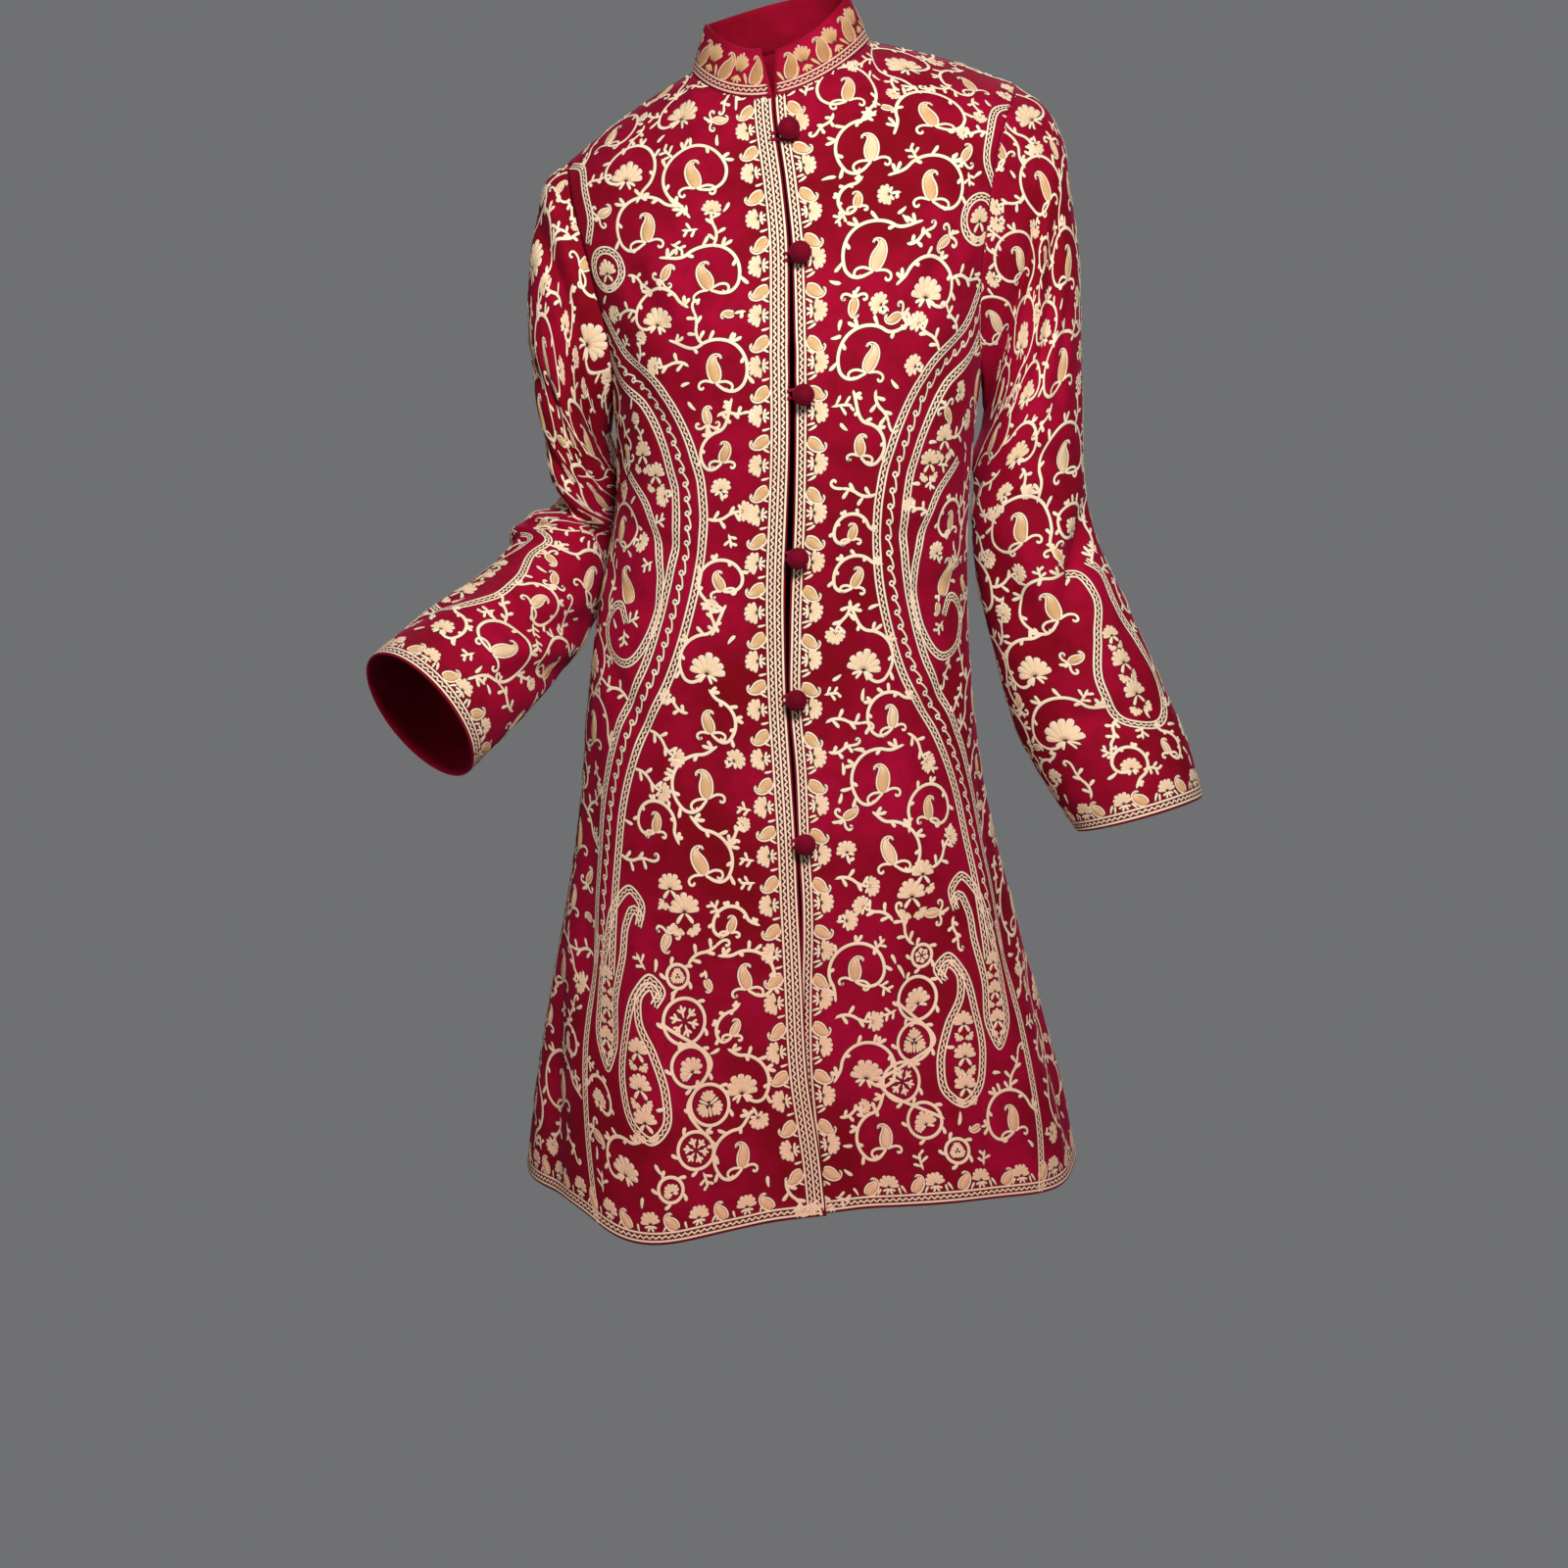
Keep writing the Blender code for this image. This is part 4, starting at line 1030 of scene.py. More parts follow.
def turning(start, heading, length, bends, count):
    """A line from start that turns by the angles in bends, in degrees, over its length."""
    t = np.linspace(0.0, 1.0, count)
    turned_by = np.concatenate([[0.0], np.cumsum(bends)])
    angle = heading + np.radians(np.interp(t, np.linspace(0.0, 1.0, len(turned_by)), turned_by))
    steps = np.stack([np.cos(angle), np.sin(angle)], axis=1)[:-1] * length / (count - 1)
    return np.asarray(start) + np.concatenate([[[0.0, 0.0]], np.cumsum(steps, axis=0)])


def stroke(work, start, heading, length, bend=30.0, tone=CREAM, half=LEAF):
    """A short leaf: a stitch row that swells in its middle."""
    line = turning(start, heading, length, (bend,), 7)
    work.thread(line, half * np.array([0.35, 0.55, 0.78, 0.94, 1.0, 0.90, 0.45]), tone)


def sprig(work, start, heading, size, count):
    """A short stem with count leaves along its sides."""
    stem = turning(start, heading - 0.12, size * 0.92, (16,), 6)
    work.thread(stem, VINE * np.array([0.6, 0.75, 0.75, 0.8, 0.95, 0.6]))
    for k, turn, reach in ((2, 0.85, 0.52), (1, -0.9, 0.50), (3, -0.75, 0.46), (4, 0.7, 0.38))[:count]:
        stroke(work, stem[k], heading + turn, size * reach, 22.0 * np.sign(turn), half=LEAF * 0.8)


def curl(work, start, heading, length, hand, half=THREAD):
    """A line that ends in a small spiral."""
    line = turning(start, heading, length, (hand * 8, hand * 40, hand * 100, hand * 175), 19)
    work.thread(line, half * np.interp(np.linspace(0, 1, 19), [0, 0.8, 1], [1.0, 1.0, 1.1]))


def paisley(work, base, heading, length, hand, tone=GOLD, plump=0.20):
    """A filled drop with a raised outline, whose tip bends to one side and curls."""
    count = 19
    widest = 0.30
    bends = (hand * -16, hand * -4, hand * 30, hand * 82, hand * 150)
    line = turning(base, heading, length * 1.30, bends, count)
    t = np.linspace(0.0, 1.0, count)
    round_end = np.sqrt(np.clip(1 - ((widest - t) / widest) ** 2, 0, 1))
    taper = np.cos(np.pi / 2 * np.clip((t - widest) / 0.52, 0, 1)) ** 1.15
    body = plump * length * np.where(t < widest, round_end, taper)
    inside = t < 0.80
    filled = np.maximum(body - FINE * 0.6, FINE * 0.6)[inside]
    fill_tone = tone * (0.75 + 0.25 * np.sin(6 * t))[inside]
    work.thread(line[inside], filled, fill_tone, across=7, rise=2 * THREAD_RISE)
    for side in (-1, 1):
        rim = beside(line, side * np.maximum(body + FINE * 0.7, FINE * 0.05)[:, None])
        work.thread(rim, FINE * np.interp(t, [0, 0.7, 1], [1.0, 0.85, 0.45]), CREAM)


def fan(work, base, heading, size, lobes=7, spread=150.0, tone=MIDDLE, rays=2):
    """A flower seen from the side: petals that open from one point, and small leaves at its base."""
    each = math.radians(spread) / (lobes - 1)
    middle = (lobes - 1) / 2
    t = np.array([0.08, 0.36, 0.62, 0.84, 0.96, 1.0])
    shape = np.array([0.22, 0.50, 0.84, 1.0, 0.78, 0.30])
    for i in range(lobes):
        angle = heading + (i - middle) * each
        uneven = 1 + 0.04 * math.sin(i * 2.4 + size * 9000)
        reach = size * (1.0 - 0.17 * (abs(i - middle) / middle) ** 1.5) * uneven
        line = np.asarray(base) + reach * t[:, None] * way(angle)
        wide = reach * math.sin(each / 2) * 0.80
        fill_tone = tone * np.array([1.0, 0.85, 0.5, 0.12, 0.0, 0.0])
        work.thread(line, wide * shape, fill_tone, across=5, rise=0.0007)
    for turn in (-1, 1):
        for k in range(rays):
            angle = heading + turn * (math.radians(spread / 2 + 24) + 0.55 * k)
            stroke(work, np.asarray(base), angle, size * (0.58 - 0.08 * k), turn * 34.0, half=LEAF * 0.8)


def bow(work, base, heading, size, hand, tone=GOLD):
    """A drop that stands on a stem with a curl to each side."""
    base = np.asarray(base, float)
    paisley(work, base, heading + hand * 0.12, size, hand, tone)
    curl(work, base, heading + math.pi - 0.95, size * 1.15, -1)
    curl(work, base, heading + math.pi + 0.95, size * 1.15, 1)
    stroke(work, base, heading + math.pi, size * 0.42, 20.0 * hand)


def circle(centre, radius):
    t = np.linspace(0.0, 2 * math.pi, max(12, int(2 * math.pi * radius / 0.002)) + 1)
    return np.asarray(centre) + radius * np.stack([np.cos(t), np.sin(t)], axis=1)


def medallion(work, centre, radius, kind):
    """A round vine with flowers, a star of leaves or a three-part flower in it."""
    centre = np.asarray(centre, float)
    work.thread(circle(centre, radius), VINE)
    if kind % 3 == 0:
        for angle in (-math.pi / 2, math.pi / 6, 5 * math.pi / 6):
            fan(work, centre + way(angle, radius * 0.08), angle, radius * 0.66, 5, 84.0, 0.5, rays=0)
            stroke(work, centre, angle + math.pi / 3, radius * 0.62, 0.0, half=LEAF * 0.7)
    elif kind % 3 == 1:
        for i in range(6):
            angle = math.pi / 3 * i + 0.3
            stroke(work, centre + way(angle, radius * 0.10), angle, radius * 0.66, 0.0, half=LEAF * 0.8)
            for turn in (-0.7, 0.7):
                spot = centre + way(angle, radius * 0.34)
                stroke(work, spot, angle + turn, radius * 0.34, 0.0, half=LEAF * 0.65)
    else:
        fan(work, centre + [radius * 0.1, radius * 0.3], -math.pi / 2 - 0.3, radius * 0.82, rays=1)
        fan(work, centre + [-radius * 0.2, radius * 0.34], math.pi * 0.9, radius * 0.42, 5, 110.0, rays=0)
    for i in range(5):
        angle = math.radians(72 * i + 20)
        stroke(work, centre + way(angle, radius), angle + 0.7, 0.0085)
    work.hold(centre, radius + 0.005)


def scroll(work, centre, radius, root=None, flowered=False):
    """A vine that runs round a drop on two curls, with leaves and a flower on its outside.

    root is where its stem comes from, on another vine or on the ground nearby.
    """
    centre = np.asarray(centre, float)
    if root is None:
        root = centre + way(rng.random() * 2 * math.pi, radius * 1.35)
    start = bearing(root - centre)
    end = math.pi / 2 + 0.5 * (rng.random() - 0.5)
    sweep = (end - start) % (2 * math.pi)
    hand = 1
    if sweep < math.pi:
        sweep, hand = 2 * math.pi - sweep, -1
    start += hand * 0.35
    sweep -= 0.35
    t = np.linspace(0.0, 1.0, 15)
    angle = start + hand * sweep * t
    settle = fade(t, 0.72, 1.0)
    r = radius * (1.0 - 0.04 * t - 0.56 * settle + 0.02 * np.sin(7 * t + start))
    ring = centre + r[:, None] * np.stack([np.cos(angle), np.sin(angle)], axis=1)
    vine = curve(np.concatenate([[root], ring]), 0.0022)
    work.thread(vine, VINE * np.interp(np.linspace(0, 1, len(vine)), [0, 0.1, 0.9, 1], [0.8, 1, 1, 0.75]))
    base = ring[-1]
    up = bearing(centre - base)
    if flowered:
        fan(work, base, up, radius * 0.74)
    else:
        paisley(work, base, up, radius * 0.92, hand, GOLD if rng.random() < 0.6 else MIDDLE)
        curl(work, base, up + hand * 1.30, radius * 1.00, hand)
        curl(work, base, up - hand * 1.30, radius * 0.90, -hand)
    for i, share in enumerate((0.06, 0.20, 0.33, 0.47, 0.60, 0.72)):
        k = int(share * (len(vine) - 1))
        tangent = bearing(vine[min(k + 1, len(vine) - 1)] - vine[k])
        inner = i in (1, 4)
        turn = hand * (1 if inner else -1)
        stroke(work, vine[k], tangent + turn * 0.70, radius * (0.26 if inner else 0.40), 22.0 * turn)
        if i in (0, 3):
            stroke(work, vine[k], tangent + turn * 1.40, radius * 0.32, 22.0 * turn)
    work.hold(centre, radius)
    return hand


def trim(work, line, flip, pairs=1, step=TRIM_STEP):
    """The edge trim: plain lines with a wave between each two."""
    for i in range(2 * pairs + 1):
        path = beside(line, flip * (TRIM_START + step * i))
        if i % 2:
            work.thread(waved(path, 0.0011, TRIM_WAVE), FINE * 0.85)
        else:
            work.thread(even(path, 0.003), FINE)


def motif_row(work, line, flip, inset, size=1.0, seed=0):
    """Flowers and drops in turn along an edge, with small leaves between them."""
    steps = even(line, MOTIF_PITCH)
    heading = unit(np.gradient(steps, axis=0))
    for i, step in enumerate(steps):
        along = bearing(heading[i])
        out = along + flip * math.pi / 2
        jitter = 0.14 * math.sin(i * 5.1 + seed)
        base = step + way(out, inset)
        if i % 2:
            heart = base + way(out, 0.0058 * size)
            fan(work, heart, out + jitter, 0.0122 * size, 7, 138.0, 0.55, rays=0)
            for turn in (-1.05, -0.36, 0.36, 1.05):
                bend = 16.0 * np.sign(turn)
                stroke(work, heart, out + math.pi + turn, 0.0068 * size, bend, half=LEAF * 0.62)
        else:
            toward = out - flip * 0.40 + jitter
            paisley(work, base + way(along, flip * -0.0015), toward, 0.0172 * size, flip, GOLD, 0.25)
            leaf = base + way(along, flip * 0.0062)
            stroke(work, leaf, out + 0.35 * flip, 0.0095 * size, 24.0 * flip, half=LEAF * 0.7)
        leaf = step + way(along, MOTIF_PITCH * 0.5) + way(out, inset - 0.001)
        stroke(work, leaf, out + 0.4 * (-1) ** i, 0.0080 * size, 24.0, half=LEAF * 0.65)
    line = even(line, 0.006)
    for gap in (0.006, 0.014, 0.022, inset + 0.0155 * size):
        work.hold(beside(line, flip * gap), 0.0055)


def level_line(low, high, v, count):
    """A straight line across the cloth at v."""
    return np.stack([np.linspace(low, high, count), np.full(count, v)], axis=1)


def hem_work(work, line, flip, cut=slice(None), seed=0):
    """The trim of a hem or cuff, and the row of flowers and drops above it."""
    trim(work, line, flip)
    motif_row(work, line[cut], flip, HEM_MOTIF_INSET, HEM_MOTIF_SIZE, seed)


def band(work, points):
    """The broad band: a trim of two lines and a wave at each side, and running curls between them."""
    half = 0.0160
    line = curve(points, 0.002)
    for side in (-1, 1):
        for i, gap in enumerate((0.0, 0.0031, 0.0062)):
            path = beside(line, side * (half - gap))
            if i == 1:
                work.thread(waved(path, 0.0010, TRIM_WAVE), FINE * 0.8)
            else:
                work.thread(even(path, 0.0025), FINE)
    steps = even(line, 0.0128)
    for i in range(len(steps) - 1):
        heading = bearing(steps[i + 1] - steps[i])
        spot = steps[i] + way(heading - math.pi / 2, -0.0040)
        running = turning(spot, heading - 0.85, 0.0290, (30, 10, 100, 170, 190), 18)
        work.thread(running, FINE * 0.9)
    work.hold(even(line, 0.008), half + 0.0015)


def double_line(work, points, gap):
    """A thinner contour: a line, a wave and a line."""
    line = curve(points, 0.0018)
    work.thread(line, FINE)
    work.thread(waved(beside(line, gap / 2), 0.0009, 0.0054), FINE * 0.75)
    work.thread(beside(line, gap), FINE)
    work.hold(even(line, 0.006), 0.0055)


def bunch(work, spot, size):
    """A full flower on a pair of leaves, with a smaller flower at each side."""
    spot = np.asarray(spot, float)
    up = -math.pi / 2
    fan(work, spot, up, size * 1.25, rays=0)
    for turn in (-1.0, 1.0):
        stroke(work, spot, up + math.pi + 0.9 * turn, size * 0.9, -30.0 * turn)
        beneath = spot + way(up + math.pi + 0.45 * turn, size * 0.9)
        fan(work, beneath, up + math.pi + 0.6 * turn, size * 0.7, 5, 120.0, rays=0)
    work.hold(spot, size * 1.05)


def chained(work, scrolls, side):
    """Scrolls whose stems come one from another, down the cloth."""
    last = None
    for i, (u, v, radius) in enumerate(scrolls):
        centre = np.array([u * side, v])
        root = None
        if last is not None and np.linalg.norm(centre - last[0]) < radius + last[1] + 0.035:
            toward = bearing(centre - last[0])
            root = last[0] + way(toward - 0.45 * last[2], last[1])
        hand = scroll(work, centre, radius, root, i % 4 == 3)
        last = (centre, radius, hand)


def fill(work, tries=1300, room=0.82):
    """All-over embroidery in what is left free: scrolls first, and then ever smaller pieces."""
    top, bottom = work.cloth.top, work.cloth.down[-1]

    def spots(count):
        v = top + (bottom - top) * rng.random(count)
        ends = [work.cloth.width(x) for x in v]
        return [(low + (high - low) * rng.random(), x) for (low, high), x in zip(ends, v)]

    for radius in FILL_SCROLLS:
        for u, v in spots(tries):
            if work.free(u, v, radius):
                angle, gap = work.away(u, v)
                if gap > radius * 1.9:
                    continue
                root = np.array([u, v]) - way(angle, gap + 0.004)
                scroll(work, (u, v), radius * 0.90, root, rng.random() < 0.25)
    for radius, kind in FILLINGS:
        for u, v in spots(tries * 2):
            if not work.free(u, v, radius * room):
                continue
            turn, gap = work.away(u, v)
            if gap > radius * 2.6:
                continue
            hand = 1 if rng.random() < 0.5 else -1
            reach = gap + 0.002
            root = np.array([u, v]) - way(turn, reach)
            if kind == "bow":
                up = turn + 0.5 * hand
                stem = turning(root, turn - 0.3 * hand, reach * 0.75, (hand * 50,), 7)
                work.thread(stem, VINE)
                bow(work, stem[-1], up, radius * 1.15, hand, GOLD if rng.random() < 0.6 else MIDDLE)
            elif kind == "branch":
                stem = turning(root, turn - 0.45 * hand, reach + radius * 1.1, (hand * 60, -hand * 45), 13)
                work.thread(stem, VINE * np.interp(np.arange(13), [0, 2, 10, 12], [0.8, 1, 0.9, 0.6]))
                for k, side in ((2, 1), (4, -1), (7, 1), (9, -1)):
                    stroke(work, stem[k], turn + side * hand * 0.8, radius * 0.62, side * hand * 22.0)
                if rng.random() < 0.6:
                    fan(work, stem[-2], turn, radius * 0.72, spread=140.0, rays=1)
                else:
                    curl(work, stem[-2], turn, radius * 1.2, hand, half=VINE * 0.85)
            elif kind == "flower":
                stem = turning(root, turn - 0.2 * hand, reach - radius * 0.25, (hand * 24,), 5)
                work.thread(stem, VINE * 0.9)
                if rng.random() < 0.6:
                    fan(work, stem[-1], turn, radius * 1.15, rays=1)
                else:
                    paisley(work, stem[-1], turn, radius * 1.10, hand)
                stroke(work, stem[1], turn + 1.0 * hand, radius * 0.6, 30.0 * hand)
            elif kind == "sprig":
                sprig(work, root, turn, reach + radius * 0.80, 4 if rng.random() < 0.35 else 3)
            else:
                stroke(work, root, turn + 0.3 * hand, reach + radius * 0.6, -30.0 * hand)
            work.hold((u, v), radius)


# Room that each piece of the all-over embroidery needs: the scrolls, and then the smaller pieces.
FILL_SCROLLS = (0.0330, 0.0285, 0.0245, 0.0205, 0.0172)
FILLINGS = (
    (0.0160, "branch"),
    (0.0135, "bow"),
    (0.0118, "branch"),
    (0.0100, "flower"),
    (0.0078, "sprig"),
    (0.0055, "leaf"),
)

# Places of the large forms on a front, in metres across from the front edge and down.
SIDE_BAND = (
    (0.200, 0.196), (0.172, 0.240), (0.130, 0.268), (0.101, 0.312), (0.086, 0.362), (0.086, 0.412),
    (0.096, 0.460), (0.114, 0.510), (0.143, 0.560), (0.168, 0.622), (0.181, 0.700), (0.188, 0.765),
)
SIDE_LINE = (
    (0.196, 0.735), (0.212, 0.800), (0.222, 0.860), (0.222, 0.930), (0.212, 0.985),
)
SIDE_HOOK = (
    (0.165, 0.340), (0.136, 0.366), (0.119, 0.400), (0.113, 0.436), (0.124, 0.478), (0.146, 0.500),
    (0.168, 0.492), (0.174, 0.468), (0.158, 0.456), (0.150, 0.470),
)
SHOULDER_HOOK = (
    (0.226, 0.048), (0.200, 0.056), (0.186, 0.078), (0.180, 0.104), (0.190, 0.126),
)
LONG_DROP = (
    (0.140, 0.722), (0.136, 0.702), (0.150, 0.690), (0.170, 0.706), (0.184, 0.744), (0.196, 0.790),
    (0.196, 0.824), (0.184, 0.842), (0.172, 0.824), (0.168, 0.784), (0.158, 0.748), (0.153, 0.722),
    (0.146, 0.711), (0.141, 0.718),
)
LOW_DROP = (
    (0.128, 0.782), (0.120, 0.768), (0.132, 0.756), (0.148, 0.770), (0.162, 0.806), (0.168, 0.846),
    (0.160, 0.876), (0.143, 0.888), (0.126, 0.876), (0.122, 0.850), (0.130, 0.816), (0.142, 0.790),
    (0.140, 0.774), (0.133, 0.768), (0.129, 0.777),
)
SHOULDER_RING = (0.170, 0.152, 0.0205)
MEDALLIONS = (
    (0.108, 0.756, 0.0095), (0.104, 0.792, 0.0185), (0.101, 0.829, 0.0165), (0.088, 0.862, 0.0170),
    (0.106, 0.897, 0.0155), (0.132, 0.925, 0.0105),
)
BUNCHES = (
    (0.098, 0.706, 0.0130), (0.110, 0.688, 0.0110), (0.122, 0.340, 0.0100), (0.140, 0.322, 0.0110),
    (0.147, 0.846, 0.0105), (0.146, 0.872, 0.0105), (0.147, 0.818, 0.0095), (0.182, 0.770, 0.0085),
    (0.183, 0.794, 0.0085), (0.184, 0.818, 0.0085),
)
SCROLLS = (
    (0.074, 0.080, 0.0285), (0.122, 0.122, 0.0290), (0.070, 0.172, 0.0290), (0.116, 0.200, 0.0240),
    (0.062, 0.252, 0.0270), (0.056, 0.322, 0.0200), (0.055, 0.431, 0.0195), (0.066, 0.500, 0.0255),
    (0.076, 0.604, 0.0275), (0.082, 0.666, 0.0270), (0.048, 0.764, 0.0240), (0.058, 0.850, 0.0240),
    (0.068, 0.910, 0.0240),
)


def vine_past(work, rounds, side):
    """A vine that winds past rounds, now on one side of them and now on the other."""
    path = []
    for i, (u, v, radius) in enumerate(rounds):
        lean_to = 1 if i % 2 else -1
        path.append((u * side + lean_to * (radius + 0.0025), v))
    work.thread(curve(path, 0.0022), VINE)


def side_forms(work, side):
    """The large forms on one side of a front or the back."""
    mirror = np.array([side, 1.0])
    band(work, np.array(SIDE_BAND) * mirror)
    for points in (SIDE_HOOK, SHOULDER_HOOK, LONG_DROP, LOW_DROP, SIDE_LINE):
        double_line(work, np.array(points) * mirror, side * LINE_GAP)


def front_work(work, side):
    """The embroidery of one front. side is 1 for the wearer's left."""
    bottom = work.cloth.down[-1]
    top = work.cloth.fall[0, 0 if side > 0 else -1]
    edge = np.stack([np.zeros(200), np.linspace(top, bottom - 0.004, 200)], axis=1)
    pairs = 2 if side < 0 else 1
    trim(work, edge, -side, pairs, FRONT_TRIM_STEP)
    motif_row(work, edge[2:-7], -side, 0.0042 + 2 * FRONT_TRIM_STEP * pairs, seed=side)
    low, high = work.cloth.width(bottom)
    far = high - 0.002 if side > 0 else low + 0.002
    hem_work(work, level_line(0.004 * side, far, bottom, 200), -side, slice(24, None), 2 * side)
    side_forms(work, side)
    u, v, radius = SHOULDER_RING
    double_line(work, circle((u * side, v), radius)[::4], 0.0056)
    bunch(work, (u * side, v + 0.004), radius * 0.52)
    for i, (u, v, radius) in enumerate(MEDALLIONS):
        medallion(work, (u * side, v), radius, i + (side > 0))
    vine_past(work, MEDALLIONS[1:5], side)
    for u, v, size in BUNCHES:
        bunch(work, (u * side, v), size)
    paisley(work, (0.146 * side, 0.452), -math.pi / 2 + 0.2 * side, 0.034, -side)
    work.hold((0.146 * side, 0.436), 0.016)
    chained(work, SCROLLS, side)
    fill(work)


def back_work(work):
    """The embroidery of the back: side bands and drops like the fronts', a middle row of scrolls, the hem."""
    bottom = work.cloth.down[-1]
    low, high = work.cloth.width(bottom)
    hem_work(work, level_line(low + 0.002, high - 0.002, bottom, 400), -1.0, slice(4, -4))
    for side in (-1, 1):
        side_forms(work, side)
        for i, (u, v, radius) in enumerate(MEDALLIONS):
            medallion(work, (u * side, v), radius, i)
        vine_past(work, MEDALLIONS[1:5], side)
    middle = [(0.016 * (-1) ** i, v, 0.0290) for i, v in enumerate(np.arange(0.072, 0.93, 0.070))]
    chained(work, middle, 1)
    fill(work, tries=1400, room=1.0)


# A tall drop on each lower sleeve: where its middle lies, and its outline across and down from there.
SLEEVE_DROP_ACROSS = 0.060
SLEEVE_DROP_UP = 0.14
SLEEVE_DROP = (
    (-0.012, -0.092), (-0.020, -0.080), (-0.018, -0.050), (-0.028, -0.010), (-0.030, 0.034),
    (-0.010, 0.062), (0.018, 0.052), (0.026, 0.016), (0.010, -0.026), (-0.006, -0.062),
    (-0.002, -0.086), (0.010, -0.090),
)


def sleeve_work(work, side):
    """The embroidery of one sleeve: the cuff, a tall drop above it and the all-over filling."""
    bottom = work.cloth.down[-1]
    low, high = work.cloth.width(bottom)
    hem_work(work, level_line(low, high, bottom, 240), -1.0)
    middle = np.array([SLEEVE_DROP_ACROSS, bottom - SLEEVE_DROP_UP])
    double_line(work, np.array(SLEEVE_DROP) * np.array([side, 1.0]) + middle, side * LINE_GAP)
    for shift, size in ((-0.022, 0.0085), (0.004, 0.0115), (0.034, 0.0125)):
        bunch(work, middle + [0.0, shift], size)
    work.hold(middle, 0.024)
    fill(work)


def collar_work(work):
    """The embroidery of the collar: its edge trim below, and one row of tall drops and flowers."""
    low, high = work.cloth.width(0.0)
    base = level_line(low + 0.003, high - 0.003, 0.0, 300)
    trim(work, base, 1.0)
    for i, spot in enumerate(even(base[10:-10], 0.0195)):
        root = spot + [0.0, 0.0098]
        if i % 2:
            toward = math.pi / 2 + 0.12 * math.sin(i)
            fan(work, root + [0.0, 0.0085], toward, 0.0190, spread=84.0, tone=GOLD, rays=0)
            for turn in (-0.75, -0.25, 0.25, 0.75):
                bend = 14.0 * np.sign(turn)
                stroke(work, root + [0.0, 0.0080], turn - math.pi / 2, 0.0080, bend, LIGHT, LEAF * 0.7)
        else:
            paisley(work, root, math.pi / 2 + 0.16, 0.0262, -1, GOLD, 0.235)
            stroke(work, root + [0.0065, 0.0], math.pi / 2 - 0.35, 0.012, -20.0, LIGHT)
            stroke(work, root + [-0.0065, 0.0], math.pi / 2 + 0.35, 0.011, 20.0, LIGHT)
    work.hold(even(base, 0.01), 0.030)


class Nodes:
    """Short names for adding shader nodes to one material."""

    def __init__(self, name):
        self.material = bpy.data.materials.new(name)
        self.material.use_nodes = True
        self.tree = self.material.node_tree
        self.shader = self.tree.nodes["Principled BSDF"]

    def link(self, value, socket):
        if isinstance(value, bpy.types.NodeSocket):
            self.tree.links.new(value, socket)
        else:
            socket.default_value = value

    def node(self, kind, output, inputs=(), **settings):
        made = self.tree.nodes.new(kind)
        for key, value in settings.items():
            setattr(made, key, value)
        for key, value in dict(inputs).items():
            self.link(value, made.inputs[key])
        return made.outputs[output]

    def math(self, operation, a, b=0.0):
        return self.node("ShaderNodeMath", 0, {0: a, 1: b}, operation=operation)

    def times(self, a, b):
        return self.math("MULTIPLY", a, b)

    def mix(self, share, a, b):
        """One colour laid over another. A colour is a socket or its three values."""
        made = self.tree.nodes.new("ShaderNodeMix")
        made.data_type = "RGBA"
        for key, value in ((0, share), (6, a), (7, b)):
            self.link((*value, 1.0) if isinstance(value, tuple) else value, made.inputs[key])
        return made.outputs[2]

    def noise(self, where, scale, detail=3.0, rough=0.55):
        inputs = {"Vector": where, "Scale": scale, "Detail": detail, "Roughness": rough}
        return self.node("ShaderNodeTexNoise", 0, inputs)

    def remap(self, value, low, high, to_low=0.0, to_high=1.0):
        inputs = {0: value, 1: low, 2: high, 3: to_low, 4: to_high}
        return self.node("ShaderNodeMapRange", 0, inputs, interpolation_type="SMOOTHSTEP")

    def place(self):
        return self.node("ShaderNodeTexCoord", "Object")

    def bump(self, height, distance, strength=1.0, normal=None):
        inputs = {"Strength": strength, "Distance": distance, "Height": height}
        if normal is not None:
            inputs["Normal"] = normal
        return self.node("ShaderNodeBump", 0, inputs)

    def split(self, vector):
        made = self.tree.nodes.new("ShaderNodeSeparateXYZ")
        self.link(vector, made.inputs[0])
        return made.outputs

    def set(self, **values):
        for key, value in values.items():
            self.link(value, self.shader.inputs[key.replace("_", " ")])


TWILL_PITCH = 0.0011


def wool_material(name, deep, bright, sheen, twill=True):
    """Fulled wool with a soft pink bloom: uneven dye, fine fibres and a faint twill."""
    n = Nodes(name)
    place = n.place()
    patches = n.noise(place, 7.0, 4.0)
    mottle = n.noise(place, 70.0, 4.0)
    fibre = n.noise(place, 950.0, rough=0.7)
    shadowed = tuple(c * 0.62 for c in deep)
    glint = (bright[0] * 1.25, bright[1] * 2, bright[2] * 1.5)
    colour = n.mix(n.remap(patches, 0.32, 0.68), deep, bright)
    colour = n.mix(n.times(n.remap(mottle, 0.35, 0.75), 0.35), colour, shadowed)
    colour = n.mix(n.times(n.remap(fibre, 0.55, 0.8), 0.25), colour, glint)
    height = n.math("ADD", n.times(fibre, 0.6), n.times(n.noise(place, 260.0), 0.4))
    normal = n.bump(height, 0.00035, 0.55)
    if twill:
        flat = n.split(n.node("ShaderNodeUVMap", 0, uv_map="cloth"))
        slant = n.math("ADD", flat[0], n.times(flat[1], 0.6))
        rib = n.math("SINE", n.times(slant, 2 * math.pi / TWILL_PITCH))
        normal = n.bump(rib, 0.00005, 0.5, normal)
    n.set(Base_Color=colour, Roughness=0.88, Normal=normal)
    n.set(Sheen_Weight=sheen, Sheen_Roughness=0.42, Sheen_Tint=(1.0, 0.05, 0.26, 1.0))
    n.set(Specular_IOR_Level=0.08)
    return n.material
